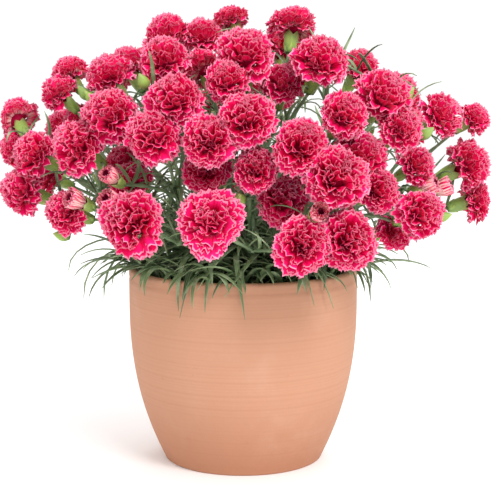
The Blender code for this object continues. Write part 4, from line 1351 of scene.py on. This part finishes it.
# %% [markdown]
# A CAD node holds one bloom, or two that press on each other, so the petals of both go in one piece. Each
# open bloom is a little lopsided: its reach swells twice and three times round its axis. Its inner petals are
# turned about their own middle by a random twist, so that no two edges line up, and the outer ones less. A
# dark ball deep inside stands for the imported feet of the petals, and its dark colour is painted shade. Where
# a bloom would leave the CAD model's box, only the side that does is flattened.
#
# A bloom that is only opening has fewer petals, wrapped closely round its axis: pale and streaked outside,
# and maroon in the middle.

# %% Fill the blooms
VISUAL_REACH = 1.10
SQUASH_REACH = 1.12
HEART_RADIUS = 0.42
HEART_RISE = 0.40
# Painted shade: the dark tint of the ball deep in each bloom
HEART_PAINTED_SHADE = (0.03, 0, 0, 1)
BLOOM_SEED = 1000
# The rings of an open bloom: their angle from its axis in degrees, and how many petals they have
BLOOM_RINGS = [(112, 9), (97, 11), (82, 12), (66, 11), (51, 10), (37, 8), (24, 6), (12, 4), (3, 3)]
# How many rings turn cream towards the cup, and the angle past which petals hardly twist
PALE_RINGS = 2
STEEP_RING = 75
# The rings of an opening one: their distance from its axis at the foot, belly and tip in radii, how many
# petals they have, and how pale and bright those are
OPENING_RINGS = [
    (0.52, 1.02, 0.86, 7, 1.9, 0.6), (0.46, 0.86, 0.66, 7, 1.8, 0.4), (0.36, 0.60, 0.42, 6, 1.2, 0.1),
    (0.24, 0.36, 0.22, 5, 0.0, 0.0), (0.10, 0.14, 0.06, 3, 0.0, 0.0),
]


def box_squash(centre, reach):
    """A function that flattens a bloom's points where its far side would leave the CAD model's box."""
    low, high = (np.array(c) for c in cad_box)
    down = np.minimum(1, (centre - low + BOX_SLACK) / reach)
    up = np.minimum(1, (high - centre + BOX_SLACK) / reach)

    def squash(spots):
        away = spots - centre
        return centre + away * np.where(away < 0, down, up)

    return squash


def add_heart(bm, tint, head):
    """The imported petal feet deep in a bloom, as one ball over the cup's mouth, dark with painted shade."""
    spot = Matrix.Translation(head.throat + head.facing * HEART_RISE * head.radius)
    made = bmesh.ops.create_icosphere(bm, subdivisions=2, radius=HEART_RADIUS * head.radius, matrix=spot)
    for vertex in made["verts"]:
        vertex[tint] = HEART_PAINTED_SHADE


def fill_bloom(bm, tint, head, draw):
    """All the petals of an open bloom."""
    add_heart(bm, tint, head)
    radius = head.radius * VISUAL_REACH
    squash = box_squash(head.centre, SQUASH_REACH * radius)
    first, second = upright_axes(head.facing)
    lobes = [draw.uniform(0, math.tau) for _ in range(2)]
    for ring, (degrees, count) in enumerate(BLOOM_RINGS):
        start = draw.uniform(0, math.tau)
        for k in range(count):
            turn = start + math.tau * (k + draw.uniform(-0.3, 0.3)) / count
            out = first * math.cos(turn) + second * math.sin(turn)
            polar = math.radians(degrees + draw.uniform(-9, 9))
            toward = math.sin(polar) * out + math.cos(polar) * head.facing
            side = np.cross(head.facing, out)
            twist = draw.uniform(-0.75, 0.75) * (0.35 if degrees > STEEP_RING else 1.0)
            side = side * math.cos(twist) + np.cross(toward, side) * math.sin(twist)
            lobe = 0.07 * math.sin(2 * turn + lobes[0]) + 0.06 * math.sin(3 * turn + lobes[1])
            reach = radius * draw.uniform(0.89, 1.03) * (1 + math.sin(polar) * lobe)
            width = radius * (0.29 + 0.17 * math.sin(polar)) * draw.uniform(0.85, 1.2)
            phases = [draw.uniform(0, math.tau) for _ in range(3)]
            crimp, waves = draw.uniform(0.065, 0.10), draw.uniform(1.5, 2.5)
            point = petal_fan(head, out, side, reach, polar, width, crimp, waves, phases)
            pale = draw.uniform(0.7, 1.0) if ring < PALE_RINGS else draw.uniform(0.0, 0.2)
            shade = (draw.uniform(0.1, 1.0), pale, draw.random(), 1)
            add_petal(bm, tint, shade, point, BLOOM_TOOTH, squash)


def wrapped_petal(head, out, side, radius, foot, belly, tip, phases):
    """A petal that wraps round an opening bloom's axis, by its distance from it at foot, belly and tip."""

    def point(across, along):
        turn = (across * (0.55 + 0.25 * np.sin(math.pi * along)))[:, None]
        away = foot * (1 - along) ** 2 + 2 * belly * along * (1 - along) + tip * along**2
        away = away + 0.07 * along**4 * np.sin(2.4 * math.pi * across + phases[0])
        rise = -0.25 + 1.55 * along + 0.06 * along**3 * np.sin(2 * math.pi * across + phases[1])
        rise = rise - 0.1 * across**2 * along
        spoke = out * np.cos(turn) + side * np.sin(turn)
        return head.throat + radius * (away[:, None] * spoke + rise[:, None] * head.facing)

    return point


def fill_opening(bm, tint, head, draw):
    """The pale, wrapped petals of a bloom that is only opening, round the dark ones inside."""
    first, second = upright_axes(head.facing)
    for foot, belly, tip, count, pale, bright in OPENING_RINGS:
        start = draw.uniform(0, math.tau)
        for k in range(count):
            turn = start + math.tau * (k + draw.uniform(-0.12, 0.12)) / count
            out = first * math.cos(turn) + second * math.sin(turn)
            side = np.cross(head.facing, out)
            phases = [draw.uniform(0, math.tau) for _ in range(2)]
            radius = head.radius * draw.uniform(0.94, 1.06)
            mouth = tip + draw.uniform(-0.05, 0.05)
            point = wrapped_petal(head, out, side, radius, foot, belly, mouth, phases)
            shade = (bright * draw.uniform(0.6, 1.0), pale, draw.random(), 1)
            add_petal(bm, tint, shade, point, OPENING_TOOTH)


partner = dict(plan.pairs)
alone = [k for k in range(len(plan.heads)) if k not in partner.values()]
petal_faces = 0
for number, k in enumerate(alone):
    bloom_bm = bmesh.new()
    bloom_bm.loops.layers.uv.new("UVMap")
    tint = bloom_bm.verts.layers.float_color.new("tint")
    for member in [k, partner[k]] if k in partner else [k]:
        fill = fill_opening if plan.heads[member].opening else fill_bloom
        fill(bloom_bm, tint, plan.heads[member], random.Random(BLOOM_SEED + member))
    label = f"{number + 1:02d}"
    bloom = make_piece(f"petals_{label}", bloom_bm, petal_finish, "petals", f"bloom_{label}")
    petal_faces += len(bloom.data.polygons)
print(len(alone), "bloom pieces,", petal_faces, "petal faces")


# %% [markdown]
# Last, the visual model's box is measured and kept with the CAD's, to show that dressing the plant has hardly
# changed its size, and the scene is finished.

# %% Measure and finish
final_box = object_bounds()
boxes = {"cad": cad_box, "visual": final_box}
{name: [[float(v) for v in corner] for corner in box] for name, box in boxes.items()}
print("CAD box", [[round(float(v), 4) for v in c] for c in cad_box])
print("visual box", [[round(float(v), 4) for v in c] for c in final_box])
